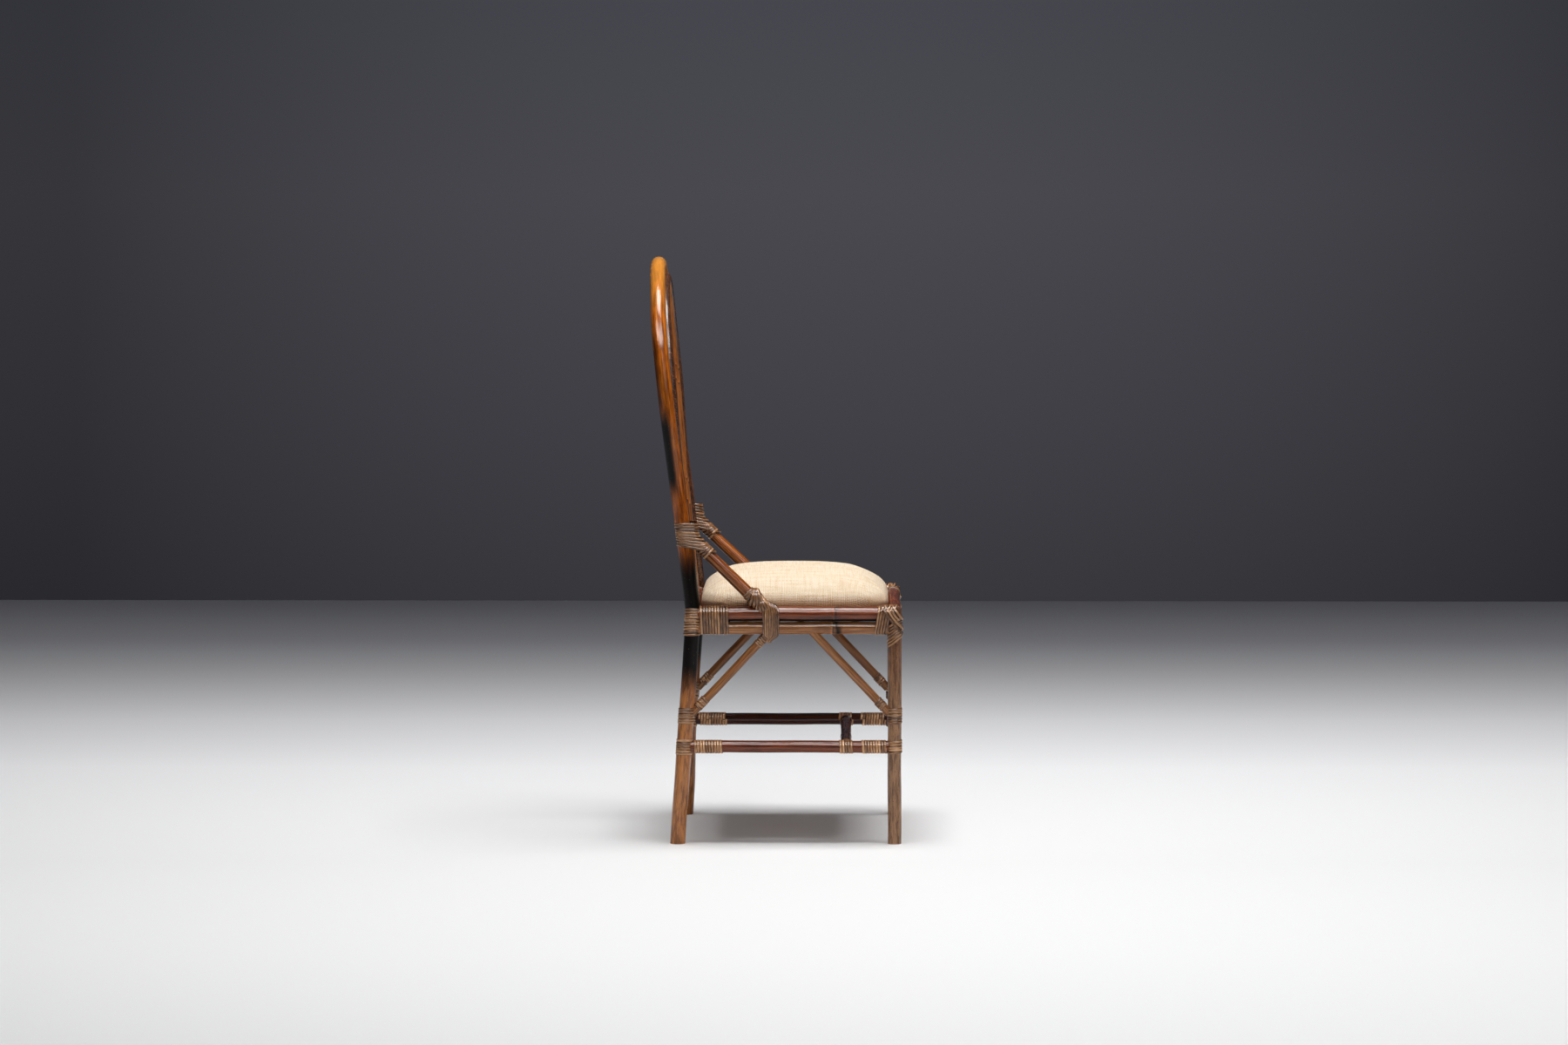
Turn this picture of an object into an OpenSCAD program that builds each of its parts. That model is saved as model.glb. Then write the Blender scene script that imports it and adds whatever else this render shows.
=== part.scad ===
// Bamboo side chair with a tall arched back, bent-pole frame and drop-in seat cushion.
// Poles butt on each other and every visible joint is lashed with wound strips of peel.
// Lengths are in millimetres. The front faces -Y, the sitter's left is +X, the floor is Z = 0.

/* [Frame] */
// Distance between the left and right leg centrelines
frame_w = 392; // [360:1:440]
// Distance from the front leg centreline back to the bent back leg, at seat height
frame_d = 376.5; // [350:0.5:420]
// How far the foot of a back leg lies behind the seat-height point
foot_splay = 26; // [0:1:40]
// Diameter of the front legs
leg_d = 22; // [20:0.5:24]
// How far the front legs stand above the top of the seat rails
leg_over = 2; // [2:0.5:10]
// Height of the upper seat rail centreline
upper_rail_z = 425; // [420:1:426]
// Distance between the upper and lower rail centrelines
rail_drop = 23; // [23:0.5:26]
// Diameter of the seat rails
rail_d = 22; // [20:0.5:22.5]
// Height of the stretchers
stretcher_z = 181; // [150:1:190]
// Diameter of the side stretchers
stretcher_d = 22; // [18:0.5:24]
// Distance from the front leg centreline back to the cross stretcher
cross_back = 88.6; // [86:0.2:140]
// Diameter of the cross stretcher
cross_d = 20; // [16:0.5:22]

/* [Back hoop] */
// Diameter of the bent hoop pole, which also makes the back legs
hoop_d = 28; // [24:0.5:30]
// Height of the hoop centreline at its crown
crown_z = 1066; // [1000:1:1100]
// Height above which the sides of the hoop spread apart
spread_z = 610; // [604:1:640]
// Height where the spreading sides turn into the arch
shoulder_z = 850; // [820:1:880]
// How far each side of the hoop spreads out between these two heights
side_spread = 30; // [26:0.5:44]
// How far the crown leans behind the seat-height point
back_lean = 65.5; // [40:0.5:90]
// Height at which the back legs bend
bend_z = 430; // [428:1:440]
// Diameter of the inner arch pole
arch_d = 17; // [14:0.5:20]
// Number of upright canes in the back
cane_count = 5; // [3:2:5]
// Distance between the cane centrelines
cane_pitch = 56; // [44:1:58]
// Diameter of a cane
cane_d = 12; // [10:0.5:14]

/* [Braces] */
// Height where the arm brace centreline meets the back leg
arm_top_z = 584; // [570:1:600]
// Slope of the arm braces from the level
arm_slope = 44.6; // [42:0.1:47]
// Diameter of the arm braces
arm_d = 22; // [20:0.5:22]
// Diameter of the diagonal struts
strut_d = 15.5; // [13:0.5:17]
// Height where the front strut centreline meets the front leg
front_strut_z = 234.2; // [228:0.1:240]
// Slope of the front struts from the level
front_strut_slope = 46.8; // [44:0.1:50]
// Height where the rear strut centreline meets the back leg
rear_strut_z = 227.4; // [222:0.1:236]
// Slope of the rear struts from the level
rear_strut_slope = 46.4; // [45:0.1:47.5]

/* [Bindings] */
// Width of one strip of peel
peel_w = 4.4; // [3.8:0.1:4.5]
// Thickness of one strip of peel
peel_t = 1.6; // [1.2:0.1:1.8]
// Bare line between two turns of peel
peel_gap = 0.6; // [0.55:0.05:0.8]

/* [Seat] */
// Number of poles that carry the seat board
slat_count = 3; // [2:1:3]
// Distance from the front leg centreline back to the first seat pole
slat_back = 72; // [60:1:80]
// Distance from the last seat pole back to the bent back leg
slat_rear = 100.5; // [96:0.5:108]
// Diameter of the seat poles
slat_d = 18; // [16:0.5:20]
// Thickness of the plywood seat board
board_t = 12; // [9:0.5:12]
// Clear space between the seat and the rails around it
seat_margin = 3.2; // [3:0.1:6]
// Height of the cushion crown above the top of the rails
crown_rise = 62; // [50:0.5:75]
// Breadth of the soft rounding from the edge of the cushion to its flat crown
soft_edge = 130; // [100:1:140]
// How far the cushion swells out over its drawn-in lower edge
cushion_swell = 3.5; // [1:0.5:4]
// Thickness of the woven seat cover
cover_t = 1.5; // [1:0.1:2.5]
// How far the cover is turned in under the board
cover_turn_in = 16; // [10:1:24]

/* [Fixings] */
// Diameter of the hidden dowels
dowel_d = 6; // [5:0.5:7]
// Length of a hidden dowel
dowel_l = 26; // [22:1:30]
// Depth to which a dowel sits in the piece that carries the joint
dowel_sink = 6.5; // [5:0.5:7]
// Shank diameter of the seat screws
screw_d = 4; // [3.5:0.1:5]
// Head diameter of the seat screws
screw_head_d = 8; // [7:0.2:9]
// Length of the seat screws
screw_l = 27; // [24:1:28]
// Distance from the middle of the chair to a seat screw
screw_out = 120; // [80:1:140]

/* [Fits] */
// Clearance between a pole and what is shaped or wound to fit it
fit = 0.25; // [0.2:0.05:0.4]
// Clearance round a dowel or a screw shank in its hole
bore_fit = 0.1; // [0.05:0.05:0.2]
// Height of the ring at a growth joint of a pole
ring_h = 0.4; // [0.2:0.05:0.45]
// Length of the swelling on each side of a growth joint
ring_reach = 6; // [4:0.5:8]

/* [Hidden] */
$fn = 48;
tube_sides = 16;
cane_sides = 10;
points_per_turn = 16;
side_x = frame_w / 2;
shoulder_w = frame_w + 2 * side_spread;
hoop_r = hoop_d / 2;
leg_r = leg_d / 2;
rail_r = rail_d / 2;
arch_r = arch_d / 2;
lower_rail_z = upper_rail_z - rail_drop;
rail_top_z = upper_rail_z + rail_r;
leg_h = rail_top_z + leg_over;
leg_lean = atan(foot_splay / bend_z);
// A wound strip takes up this much room between a pole and what butts on the binding
wrap_t = peel_t + 2 * fit;
peel_pitch = peel_w + peel_gap;
peel_arc_r = (peel_w * peel_w / 4 + peel_t * peel_t) / (2 * peel_t);
peel_cut = peel_arc_r - peel_t;
// Length, thickness and width of the step between two turns, and how far it laps into them
step_run = 5;
step_t = peel_t / 2;
step_w = peel_w * 0.54;
step_lap = 1.2;
// Bare length between a joint and the first turn that is wound beside it
joint_gap = 3.5;
// Growth joints: heights on the sides of the hoop and the arch, angles on their crowns, and
// distances from the start of each straight pole
hoop_joints = [128, 318, 452, 690];
crown_joints = [44, 60, 118, 140];
arch_joints = [600];
arch_crown_joints = [68];
front_leg_joints = [92, 264];
side_rail_joints = [113];
upper_front_joints = [110];
lower_front_joints = [240];
upper_rear_joints = [208];
lower_rear_joints = [90];
arm_joints = [104];
front_strut_joints = [96];
rear_strut_joints = [104];
stretcher_joints = [205];
cross_joints = [120];
// Room behind the seat for the bend of the back legs, and height of the cushion's widest line
bend_room = 2;
swell_rise = 14;
// The middle of the whole chair, measured back from the front leg centreline
mid_y = (frame_d + back_lean + hoop_r - leg_r - wrap_t + fit) / 2;
arch_inset = hoop_r + arch_r + wrap_t + fit;
seat_half_w = side_x - rail_r - seat_margin;
seat_front_y = rail_r + seat_margin;
seat_rear_y = frame_d - hoop_r - seat_margin - bend_room;
seat_pole_top_z = lower_rail_z + slat_d / 2;
cover_z = seat_pole_top_z + fit;
board_z = cover_z + cover_t + fit;
pad_z = board_z + board_t + fit;
cushion_top_z = rail_top_z + crown_rise;
swell_z = rail_top_z + swell_rise;

// Setback of the bent pole behind the front leg centreline, at height z
function setback(z) = z < bend_z ? frame_d + foot_splay * (1 - z / bend_z)
  : frame_d + back_lean * pow(sin(min(90, 90 * (z - bend_z) / (crown_z - bend_z))), 1.55);

// Half the distance between the sides of the hoop, at height z below the shoulder
function half_width(z) = z < spread_z ? side_x : side_x + (shoulder_w / 2 - side_x)
  * (1 - cos(180 * (z - spread_z) / (shoulder_z - spread_z))) / 2;

// Front view of an arch that lies inside the hoop by a given inset, from its left foot round
function arch_xz(inset, z) = [half_width(z) - inset, z];
function crown_xz(inset, angle) = [(shoulder_w / 2 - inset) * cos(angle),
  shoulder_z + (crown_z - shoulder_z - inset) * sin(angle)];
function lean_back(p) = [p[0], setback(p[1]), p[1]];

// Stations along the pole: plain ones at even steps, and five at each growth joint
function sorted(v) = len(v) < 2 ? v : let (pivot = v[0][0]) concat(
  sorted([for (e = v) if (e[0] < pivot) e]), [for (e = v) if (e[0] == pivot) e],
  sorted([for (e = v) if (e[0] > pivot) e]));
function ring_stations(at, scale) = [for (k = at, s = [[-1, 0], [-0.27, 1], [0, 0.2],
  [0.27, 1], [1, 0]]) [k + s[0] * ring_reach * scale, s[1] * ring_h]];
function clear_of(v, at, reach) = [for (e = v) if (min([for (k = at) abs(e - k)]) > reach) [e, 0]];
function stations(low, high, steps, rings, scale) = sorted(concat(
  clear_of([for (i = [0:steps]) low + (high - low) * i / steps], rings, ring_reach * scale * 1.5),
  ring_stations(rings, scale)));

// Swept tube through points with a radius each; both ends are cut level
leg_step = 40;
crown_steps = 28;
function unit(v) = v / norm(v);
function tangent(p, i) = i == 0 || i == len(p) - 1 ? [0, 0, i == 0 ? 1 : -1]
  : unit(p[i + 1] - p[i - 1]);
function ring(p, t, r, sides) = let (n = unit(cross(t, [0, 1, 0])), b = cross(t, n))
  [for (k = [0:sides - 1]) p + r * (n * cos(360 * k / sides) + b * sin(360 * k / sides))];
module skin(rings) {
  sides = len(rings[0]);
  last = len(rings) - 1;
  points = [for (r = rings, p = r) p];
  faces = concat(
    [[for (k = [0:sides - 1]) k]],
    [for (i = [0:last - 1], k = [0:sides - 1]) [i * sides + k, (i + 1) * sides + k,
      (i + 1) * sides + (k + 1) % sides]],
    [for (i = [0:last - 1], k = [0:sides - 1]) [i * sides + k,
      (i + 1) * sides + (k + 1) % sides, i * sides + (k + 1) % sides]],
    [[for (k = [sides - 1:-1:0]) last * sides + k]]);
  polyhedron(points, faces, convexity = 6);
}
module arch_tube(inset, foot_z, d, leg_rings, crown_rings) {
  angle_scale = 180 / (PI * (shoulder_w / 2 - inset));
  leg = stations(foot_z, shoulder_z, ceil((shoulder_z - foot_z) / leg_step), leg_rings, 1);
  crown = stations(0, 180, crown_steps, crown_rings, angle_scale);
  up = [for (e = leg) [lean_back(arch_xz(inset, e[0])), e[1]]];
  over = [for (e = crown) if (e[0] > 1 && e[0] < 179) [lean_back(crown_xz(inset, e[0])), e[1]]];
  down = [for (i = [len(up) - 1:-1:0]) [[-up[i][0][0], up[i][0][1], up[i][0][2]], up[i][1]]];
  path = concat(up, over, down);
  p = [for (e = path) e[0]];
  skin([for (i = [0:len(p) - 1]) ring(p[i], tangent(p, i), d / 2 + path[i][1], tube_sides)]);
}

// Everything below is laid out from the front leg centreline and moved to the middle here
module placed() {
  translate([0, -mid_y, 0]) children();
}
module both_sides() {
  children();
  mirror([1, 0, 0]) children();
}

// Straight pole along +Z with a raised ring on each side of every growth joint
function ring_profile(r, at) = [[r, at - ring_reach], [r + ring_h, at - ring_reach * 0.27],
  [r + ring_h * 0.2, at], [r + ring_h, at + ring_reach * 0.27], [r, at + ring_reach]];
module pole(d, length, rings = []) {
  rotate_extrude() polygon(concat([[0, 0], [d / 2, 0]],
    [for (at = rings, p = ring_profile(d / 2, at)) p], [[d / 2, length], [0, length]]));
}
// The straight lower part of a back leg, with room added round it
module leg_core(room) {
  translate([side_x, setback(0), 0]) rotate([leg_lean, 0, 0]) cylinder(r = hoop_r + room, h = bend_z + hoop_d);
}
module front_leg_core(room) {
  translate([side_x, 0, -1]) cylinder(r = leg_r + room, h = leg_h + 2);
}
// The back leg where the arm brace meets it, with room added round it
arm_post_reach = 60;
arm_post_lean = atan((setback(arm_top_z + arm_post_reach / 2)
  - setback(arm_top_z - arm_post_reach / 2)) / arm_post_reach);
module arm_post_core(room) {
  translate([side_x, setback(arm_top_z), arm_top_z]) rotate([-arm_post_lean, 0, 0])
    cylinder(r = hoop_r + room, h = 2 * arm_post_reach, center = true);
}
module rail_core(z, room) {
  translate([side_x, 0, z]) rotate([-90, 0, 0]) cylinder(r = rail_r + room, h = frame_d);
}

// Wound strip of peel about +Z, from its middle height. Each turn lies level and leaves a short
// opening on the -X side, where a slanting step carries the strip on to the next turn. With a
// spread it winds two bars that lie apart along +Y; the spread may change over the turns.
function spread_at(i, n, first, last) =
  round(100 * (n < 2 ? first : first + (last - first) * i / (n - 1))) / 100;
function turn_stations(r, z, spread, half_angle) = [for (k = [0:points_per_turn])
  let (a = 180 - half_angle - (360 - 2 * half_angle) * k / points_per_turn)
  [[r * cos(a), r * sin(a) + (a > 0 ? spread : 0), z - peel_w / 2],
   [r * cos(a), r * sin(a) + (a > 0 ? spread : 0), z + peel_w / 2]]];
function winding_stations(r, n, first, last, half_angle) = [for (i = [0:n - 1])
  each turn_stations(r, i * peel_pitch, spread_at(i, n, first, last),
    spread_at(i, n, first, last) > 0 ? 0 : half_angle)];
function least_gap(v) = min([for (i = [0:len(v) - 1], j = [i + points_per_turn / 2:1:len(v) - 1],
  e = [0, 1]) norm(v[i][e] - v[j][1 - e])]);
module peel_profile() {
  intersection() {
    circle(r = peel_arc_r);
    translate([peel_cut, -peel_w]) square([2 * peel_t, 2 * peel_w]);
  }
}
module level_turn(r, spread, half_angle) {
  if (spread > 0) {
    translate([0, spread, 0]) rotate_extrude(angle = 180) translate([r, 0]) peel_profile();
    mirror([0, 1, 0]) rotate_extrude(angle = 180) translate([r, 0]) peel_profile();
    translate([r, 0, 0]) rotate([-90, 0, 0]) linear_extrude(spread) peel_profile();
  } else {
    rotate([0, 0, half_angle - 180]) rotate_extrude(angle = 360 - 2 * half_angle)
      translate([r, 0]) peel_profile();
  }
}
// The step runs from y = low on one turn to y = high on the next, half as wide as the strip
module step(r, low, high) {
  run = high - low;
  length = norm([run, peel_pitch]) + step_lap;
  translate([-(r + peel_cut + step_t / 2), (low + high) / 2, peel_pitch / 2])
    rotate([atan(peel_pitch / run), 0, 0]) cube([step_t, length, step_w], center = true);
}
module winding(core_d, n, first = 0, last = 0) {
  inner_r = core_d / 2 + fit;
  r = inner_r - peel_cut;
  half_angle = asin(step_run / 2 / inner_r);
  echo(str("winding of ", n, " turns, least gap to itself in mm: ",
    least_gap(winding_stations(inner_r, n, first, last, half_angle))));
  translate([0, 0, (1 - n) * peel_pitch / 2]) for (i = [0:n - 1]) {
    spread = spread_at(i, n, first, last);
    next = spread_at(i + 1, n, first, last);
    translate([0, 0, i * peel_pitch]) {
      level_turn(r, spread, half_angle);
      if (i < n - 1) step(r, spread > 0 ? 0 : -step_run / 2, next > 0 ? next : step_run / 2);
    }
  }
}
// Windings placed on the poles of one side
module post_winding(z, n) {
  translate([side_x, setback(z), z]) rotate([leg_lean, 0, 0]) winding(hoop_d, n);
}
module front_leg_winding(z, n) {
  translate([side_x, 0, z]) winding(leg_d, n);
}
module along_side(back, z) {
  translate([side_x, back, z]) rotate([-90, 0, 0]) children();
}
module across(x, back, z, lean = 0) {
  translate([x, back, z]) rotate([lean, 0, 0]) rotate([0, 90, 0]) rotate([0, 0, 90]) children();
}
module rail_pair_winding(back, n) {
  along_side(back, upper_rail_z) winding(rail_d, n, rail_drop, rail_drop);
}

// Frames along the sloping pieces: +Z runs up the piece from where its centreline ends
arm_foot_y = setback(arm_top_z) - (arm_top_z - upper_rail_z) / tan(arm_slope);
arm_l = (arm_top_z - upper_rail_z) / sin(arm_slope);
module on_arm(up) {
  translate([side_x, arm_foot_y, upper_rail_z]) rotate([arm_slope - 90, 0, 0]) translate([0, 0, up])
    children();
}
module on_front_strut(up) {
  translate([side_x, 0, front_strut_z]) rotate([front_strut_slope - 90, 0, 0]) translate([0, 0, up])
    children();
}
module on_rear_strut(up) {
  translate([side_x, setback(rear_strut_z), rear_strut_z]) rotate([90 - rear_strut_slope, 0, 0])
    translate([0, 0, up]) children();
}
front_strut_l = (lower_rail_z - front_strut_z) / sin(front_strut_slope);
rear_strut_l = (lower_rail_z - rear_strut_z) / sin(rear_strut_slope);

// Dowels and screws, and the places where they sit
function slat_y(i) = slat_back + i * (frame_d - slat_rear - slat_back) / (slat_count - 1);
module dowel_places() {
  for (z = [upper_rail_z, lower_rail_z]) {
    translate([side_x, leg_r - dowel_sink, z]) rotate([-90, 0, 0]) children();
    translate([side_x - leg_r + dowel_sink, 0, z]) rotate([0, -90, 0]) children();
  }
  for (i = [0:slat_count - 1]) translate([side_x - rail_r + dowel_sink, slat_y(i), lower_rail_z])
    rotate([0, -90, 0]) children();
}
module dowel(room) {
  translate([0, 0, -room]) cylinder(d = dowel_d + 2 * room, h = dowel_l + 2 * room);
}
module dowel_bores() {
  both_sides() dowel_places() dowel(bore_fit);
}
screw_head_h = 2.5;
screw_recess = 1.5;
screw_z = lower_rail_z - slat_d / 2 + screw_recess;
module seat_screw(room) {
  cylinder(d = screw_d + 2 * room, h = screw_l + room);
  translate([0, 0, -room]) cylinder(d1 = screw_head_d + 2 * room, d2 = screw_d + 2 * room, h = screw_head_h);
}
module screw_places() {
  for (x = [-screw_out, screw_out], i = [0, slat_count - 1]) translate([x, slat_y(i), screw_z])
    children();
}
module screw_bores() {
  screw_places() {
    seat_screw(bore_fit);
    translate([0, 0, -slat_d]) cylinder(d = screw_head_d + 2 * bore_fit, h = slat_d);
  }
}

// Outline of the seat as a rounded square, drawn in by an inset; squareness 2 is an ellipse
outline_points = 36;
edge_squareness = 7;
crown_squareness = 2.6;
seat_half_d = (seat_rear_y - seat_front_y) / 2;
seat_mid_y = (seat_rear_y + seat_front_y) / 2;
function signed_power(v, e) = sign(v) * pow(abs(v), e);
function seat_outline(inset, squareness) = [for (k = [0:outline_points - 1])
  let (a = 360 * (k + 0.5) / outline_points)
  [(seat_half_w - inset) * signed_power(cos(a), 2 / squareness),
   seat_mid_y + (seat_half_d - inset) * signed_power(sin(a), 2 / squareness)]];
function level(outline, z) = [for (p = outline) [p[0], p[1], z]];
// Crown of the cushion: a rounded, slightly square shoulder and a gently domed middle
crown_levels = 9;
dome_h = 1.5;
crown_tip = 12;
function crown_level(k, skin_t) = let (a = 90 * k / crown_levels, soft = soft_edge - skin_t,
    rest = crown_squareness + (edge_squareness - crown_squareness) * pow(cos(a), 2))
  level(seat_outline(skin_t + soft * (1 - cos(a)), rest),
    swell_z + (cushion_top_z - dome_h - swell_z - skin_t) * sin(a));
function cushion_side(skin_t, low_z) = [for (s = [[1, low_z], [0.8, (low_z + rail_top_z) / 2],
  [0.4, rail_top_z + 1]]) level(seat_outline(cushion_swell * s[0] + skin_t, edge_squareness), s[1])];
function cushion_skin(skin_t, low_z) = concat(cushion_side(skin_t, low_z),
  [for (k = [0:crown_levels]) crown_level(k, skin_t)],
  [level(seat_outline((soft_edge + seat_half_w) / 2, crown_squareness),
    cushion_top_z - skin_t - dome_h / 4),
   level(seat_outline(seat_half_w - crown_tip, crown_squareness), cushion_top_z - skin_t)]);

// Sub-parts
module back_hoop() {
  color("darkgoldenrod") placed()
    arch_tube(0, 0, hoop_d, hoop_joints, crown_joints);
}
module back_arch() {
  color("tan") placed()
    arch_tube(arch_inset, rail_top_z + wrap_t, arch_d, arch_joints, arch_crown_joints);
}
module back_cane(i) {
  x = (i - (cane_count + 1) / 2) * cane_pitch;
  steps = 14;
  low = rail_top_z + fit;
  reach = [shoulder_w / 2, crown_z - shoulder_z] - [1, 1] * (arch_inset + arch_r + 2 * fit);
  top = function(px) shoulder_z + reach[1] * sqrt(1 - px * px / (reach[0] * reach[0]));
  color("peru") placed() skin([for (s = [0:steps], flat = [s / steps])
    [for (k = [0:cane_sides - 1]) let (px = x + cane_d / 2 * cos(360 * k / cane_sides),
        z = low + (top(px) - low) * flat)
      [px, setback(z) - cane_d / 2 * sin(360 * k / cane_sides), z]]]);
}
module front_leg() {
  color("saddlebrown") placed() difference() {
    translate([side_x, 0, 0]) pole(leg_d, leg_h, front_leg_joints);
    dowel_bores();
  }
}
module side_rail(z, shade) {
  color(shade) placed() difference() {
    along_side(0, z) pole(rail_d, frame_d, side_rail_joints);
    front_leg_core(fit);
    leg_core(wrap_t);
    translate([0, frame_d, 0]) cube([2 * frame_w, 2 * hoop_r, 2 * frame_w], center = true);
    dowel_bores();
  }
}
module cross_pole(back, z, d, length, rings) {
  translate([-length / 2, back, z]) rotate([0, 90, 0]) pole(d, length, rings);
}
module front_rail(z, rings) {
  color("sienna") placed() difference() {
    cross_pole(0, z, rail_d, frame_w - leg_d - 2 * fit, rings);
    dowel_bores();
  }
}
module rear_rail(z, rings) {
  color("sienna") placed()
    cross_pole(setback(z), z, rail_d, frame_w - hoop_d - 2 * wrap_t, rings);
}
module arm_brace() {
  color("chocolate") placed() difference() {
    on_arm(0) pole(arm_d, arm_l, arm_joints);
    arm_post_core(fit);
    rail_core(upper_rail_z, fit);
  }
}
module front_strut() {
  color("peru") placed() difference() {
    on_front_strut(0) pole(strut_d, front_strut_l, front_strut_joints);
    front_leg_core(wrap_t);
    rail_core(lower_rail_z, fit);
  }
}
module rear_strut() {
  color("peru") placed() difference() {
    on_rear_strut(0) pole(strut_d, rear_strut_l, rear_strut_joints);
    leg_core(wrap_t);
    rail_core(lower_rail_z, wrap_t);
  }
}
module stretcher() {
  color("maroon") placed() difference() {
    along_side(0, stretcher_z) pole(stretcher_d, setback(stretcher_z), stretcher_joints);
    front_leg_core(wrap_t);
    leg_core(wrap_t);
  }
}
module cross_stretcher() {
  color("maroon") placed()
    cross_pole(cross_back, stretcher_z, cross_d, frame_w - stretcher_d - 2 * wrap_t, cross_joints);
}
module seat_pole(i) {
  color("burlywood") placed() difference() {
    cross_pole(slat_y(i - 1), lower_rail_z, slat_d, frame_w - rail_d - 2 * fit, []);
    dowel_bores();
    screw_bores();
  }
}
module seat_board() {
  color("wheat") placed() difference() {
    translate([0, 0, board_z]) linear_extrude(board_t)
      polygon(seat_outline(cushion_swell + cover_t + fit, edge_squareness));
    screw_bores();
  }
}
module seat_pad() {
  color("ivory") placed() skin(cushion_skin(cover_t + fit, pad_z));
}
module seat_cover() {
  turned = cushion_swell + cover_turn_in;
  inner = cushion_skin(cover_t, board_z + board_t);
  outer = cushion_skin(0, cover_z);
  color("moccasin") placed() skin(concat(
    [for (i = [len(inner) - 1:-1:0]) inner[i]],
    [level(seat_outline(cushion_swell + cover_t, edge_squareness), cover_z + cover_t)],
    [level(seat_outline(turned, edge_squareness), cover_z + cover_t)],
    [level(seat_outline(turned, edge_squareness), cover_z)],
    outer));
}
module frame_dowels() {
  color("beige") placed() both_sides() dowel_places() dowel(0);
}
module seat_screws() {
  color("silver") placed() screw_places() seat_screw(0);
}

// Bindings, each a pair for the left and the right side. A winding of n turns beside a joint has
// its middle this far from it.
peel = "rosybrown";
function beyond(n) = joint_gap + n * peel_pitch / 2;
arm_half_cut = arm_d / 2 / sin(arm_slope);

// Round the post and the head of the arm brace, then a ring round the brace below it
arm_top_turns = 9;
arm_top_reach = 39;
arm_ring_turns = 3;
arm_top_low_z = arm_top_z - arm_top_reach;
arm_top_spread = setback(arm_top_low_z) - arm_foot_y + 4 * fit
  - (arm_top_low_z - upper_rail_z) / tan(arm_slope) + arm_half_cut - hoop_r;
module arm_top_bindings() {
  mid_z = arm_top_low_z + arm_top_turns * peel_pitch / 2;
  ring_up = (arm_top_low_z - upper_rail_z) / sin(arm_slope) - arm_d / 2 - arm_ring_turns * peel_pitch / 2;
  color(peel) placed() both_sides() {
    translate([side_x, setback(mid_z), mid_z]) rotate([-arm_post_lean, 0, 0]) mirror([0, 1, 0])
      winding(hoop_d, arm_top_turns, arm_top_spread, peel_t);
    on_arm(ring_up) winding(arm_d, arm_ring_turns);
  }
}

// Round both rails and the foot of the arm brace, then a ring round the brace above it
arm_foot_turns = 5;
arm_foot_ring_turns = 4;
module arm_foot_bindings() {
  start_y = arm_foot_y + rail_r / tan(arm_slope) - arm_half_cut;
  rise = peel_pitch * tan(arm_slope);
  ring_up = (rail_r + arm_foot_turns * rise) / sin(arm_slope) + joint_gap;
  color(peel) placed() both_sides() {
    translate([side_x, start_y + (arm_foot_turns - 1) * peel_pitch / 2, lower_rail_z])
      rotate([90, 0, 0]) winding(rail_d, arm_foot_turns, rail_drop + (arm_foot_turns - 0.5) * rise + fit,
        rail_drop + 0.5 * rise + fit);
    on_arm(ring_up) winding(arm_d, arm_foot_ring_turns);
  }
}

// A band on each strut, this far up it from where its centreline meets the post or the rail
strut_turns = 4;
function strut_foot_up(core_r, slope, n) = (core_r + wrap_t) / cos(slope)
  + strut_d / 2 * tan(slope) + beyond(n);
module rear_strut_top_bindings() {
  head = (rail_r + wrap_t) / sin(rear_strut_slope) + strut_d / 2 / tan(rear_strut_slope);
  color(peel) placed() both_sides() on_rear_strut(rear_strut_l - head - beyond(strut_turns))
    winding(strut_d, strut_turns);
}

// Two bands on the post, one beside each side rail, both on its straight part
post_turns = 3;
module rear_post_bindings() {
  for_upper = bend_z - beyond(post_turns) + joint_gap - fit;
  color(peel) placed() both_sides() for (z = [for_upper, lower_rail_z]) post_winding(z, post_turns);
}

// Bands round the upper and the lower rail together
side_rail_turns = 10;
corner_turns = 5;
corner_leg_turns = 3;
end_turns = 4;
module side_rail_bindings() {
  color(peel) placed() both_sides()
    rail_pair_winding(frame_d - hoop_r - wrap_t - beyond(side_rail_turns), side_rail_turns);
}
module front_corner_bindings() {
  color(peel) placed() both_sides() {
    rail_pair_winding(leg_r + beyond(corner_turns), corner_turns);
    front_leg_winding(lower_rail_z - rail_r - beyond(corner_leg_turns), corner_leg_turns);
  }
}
module front_rail_bindings() {
  color(peel) placed() both_sides() mirror([0, 1, 0])
    across(side_x - leg_r - beyond(end_turns), 0, lower_rail_z)
      winding(rail_d, end_turns, rail_drop, rail_drop);
}
module rear_rail_bindings() {
  color(peel) placed() both_sides()
    across(side_x - hoop_r - wrap_t - beyond(end_turns), setback(lower_rail_z), lower_rail_z, leg_lean)
      winding(rail_d, end_turns, rail_drop, rail_drop);
}

// Bands round the legs where the struts meet them, this far above the struts' centrelines
rear_strut_rise = 12;
front_strut_rise = 5;
leg_turns = 5;
front_strut_turns = 3;
module rear_strut_foot_bindings() {
  color(peel) placed() both_sides() {
    post_winding(rear_strut_z + rear_strut_rise, leg_turns);
    on_rear_strut(strut_foot_up(hoop_r, rear_strut_slope, strut_turns)) winding(strut_d, strut_turns);
  }
}
module front_strut_foot_bindings() {
  color(peel) placed() both_sides() {
    front_leg_winding(front_strut_z + front_strut_rise, leg_turns);
    on_front_strut(strut_foot_up(leg_r, front_strut_slope, front_strut_turns))
      winding(strut_d, front_strut_turns);
  }
}

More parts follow.
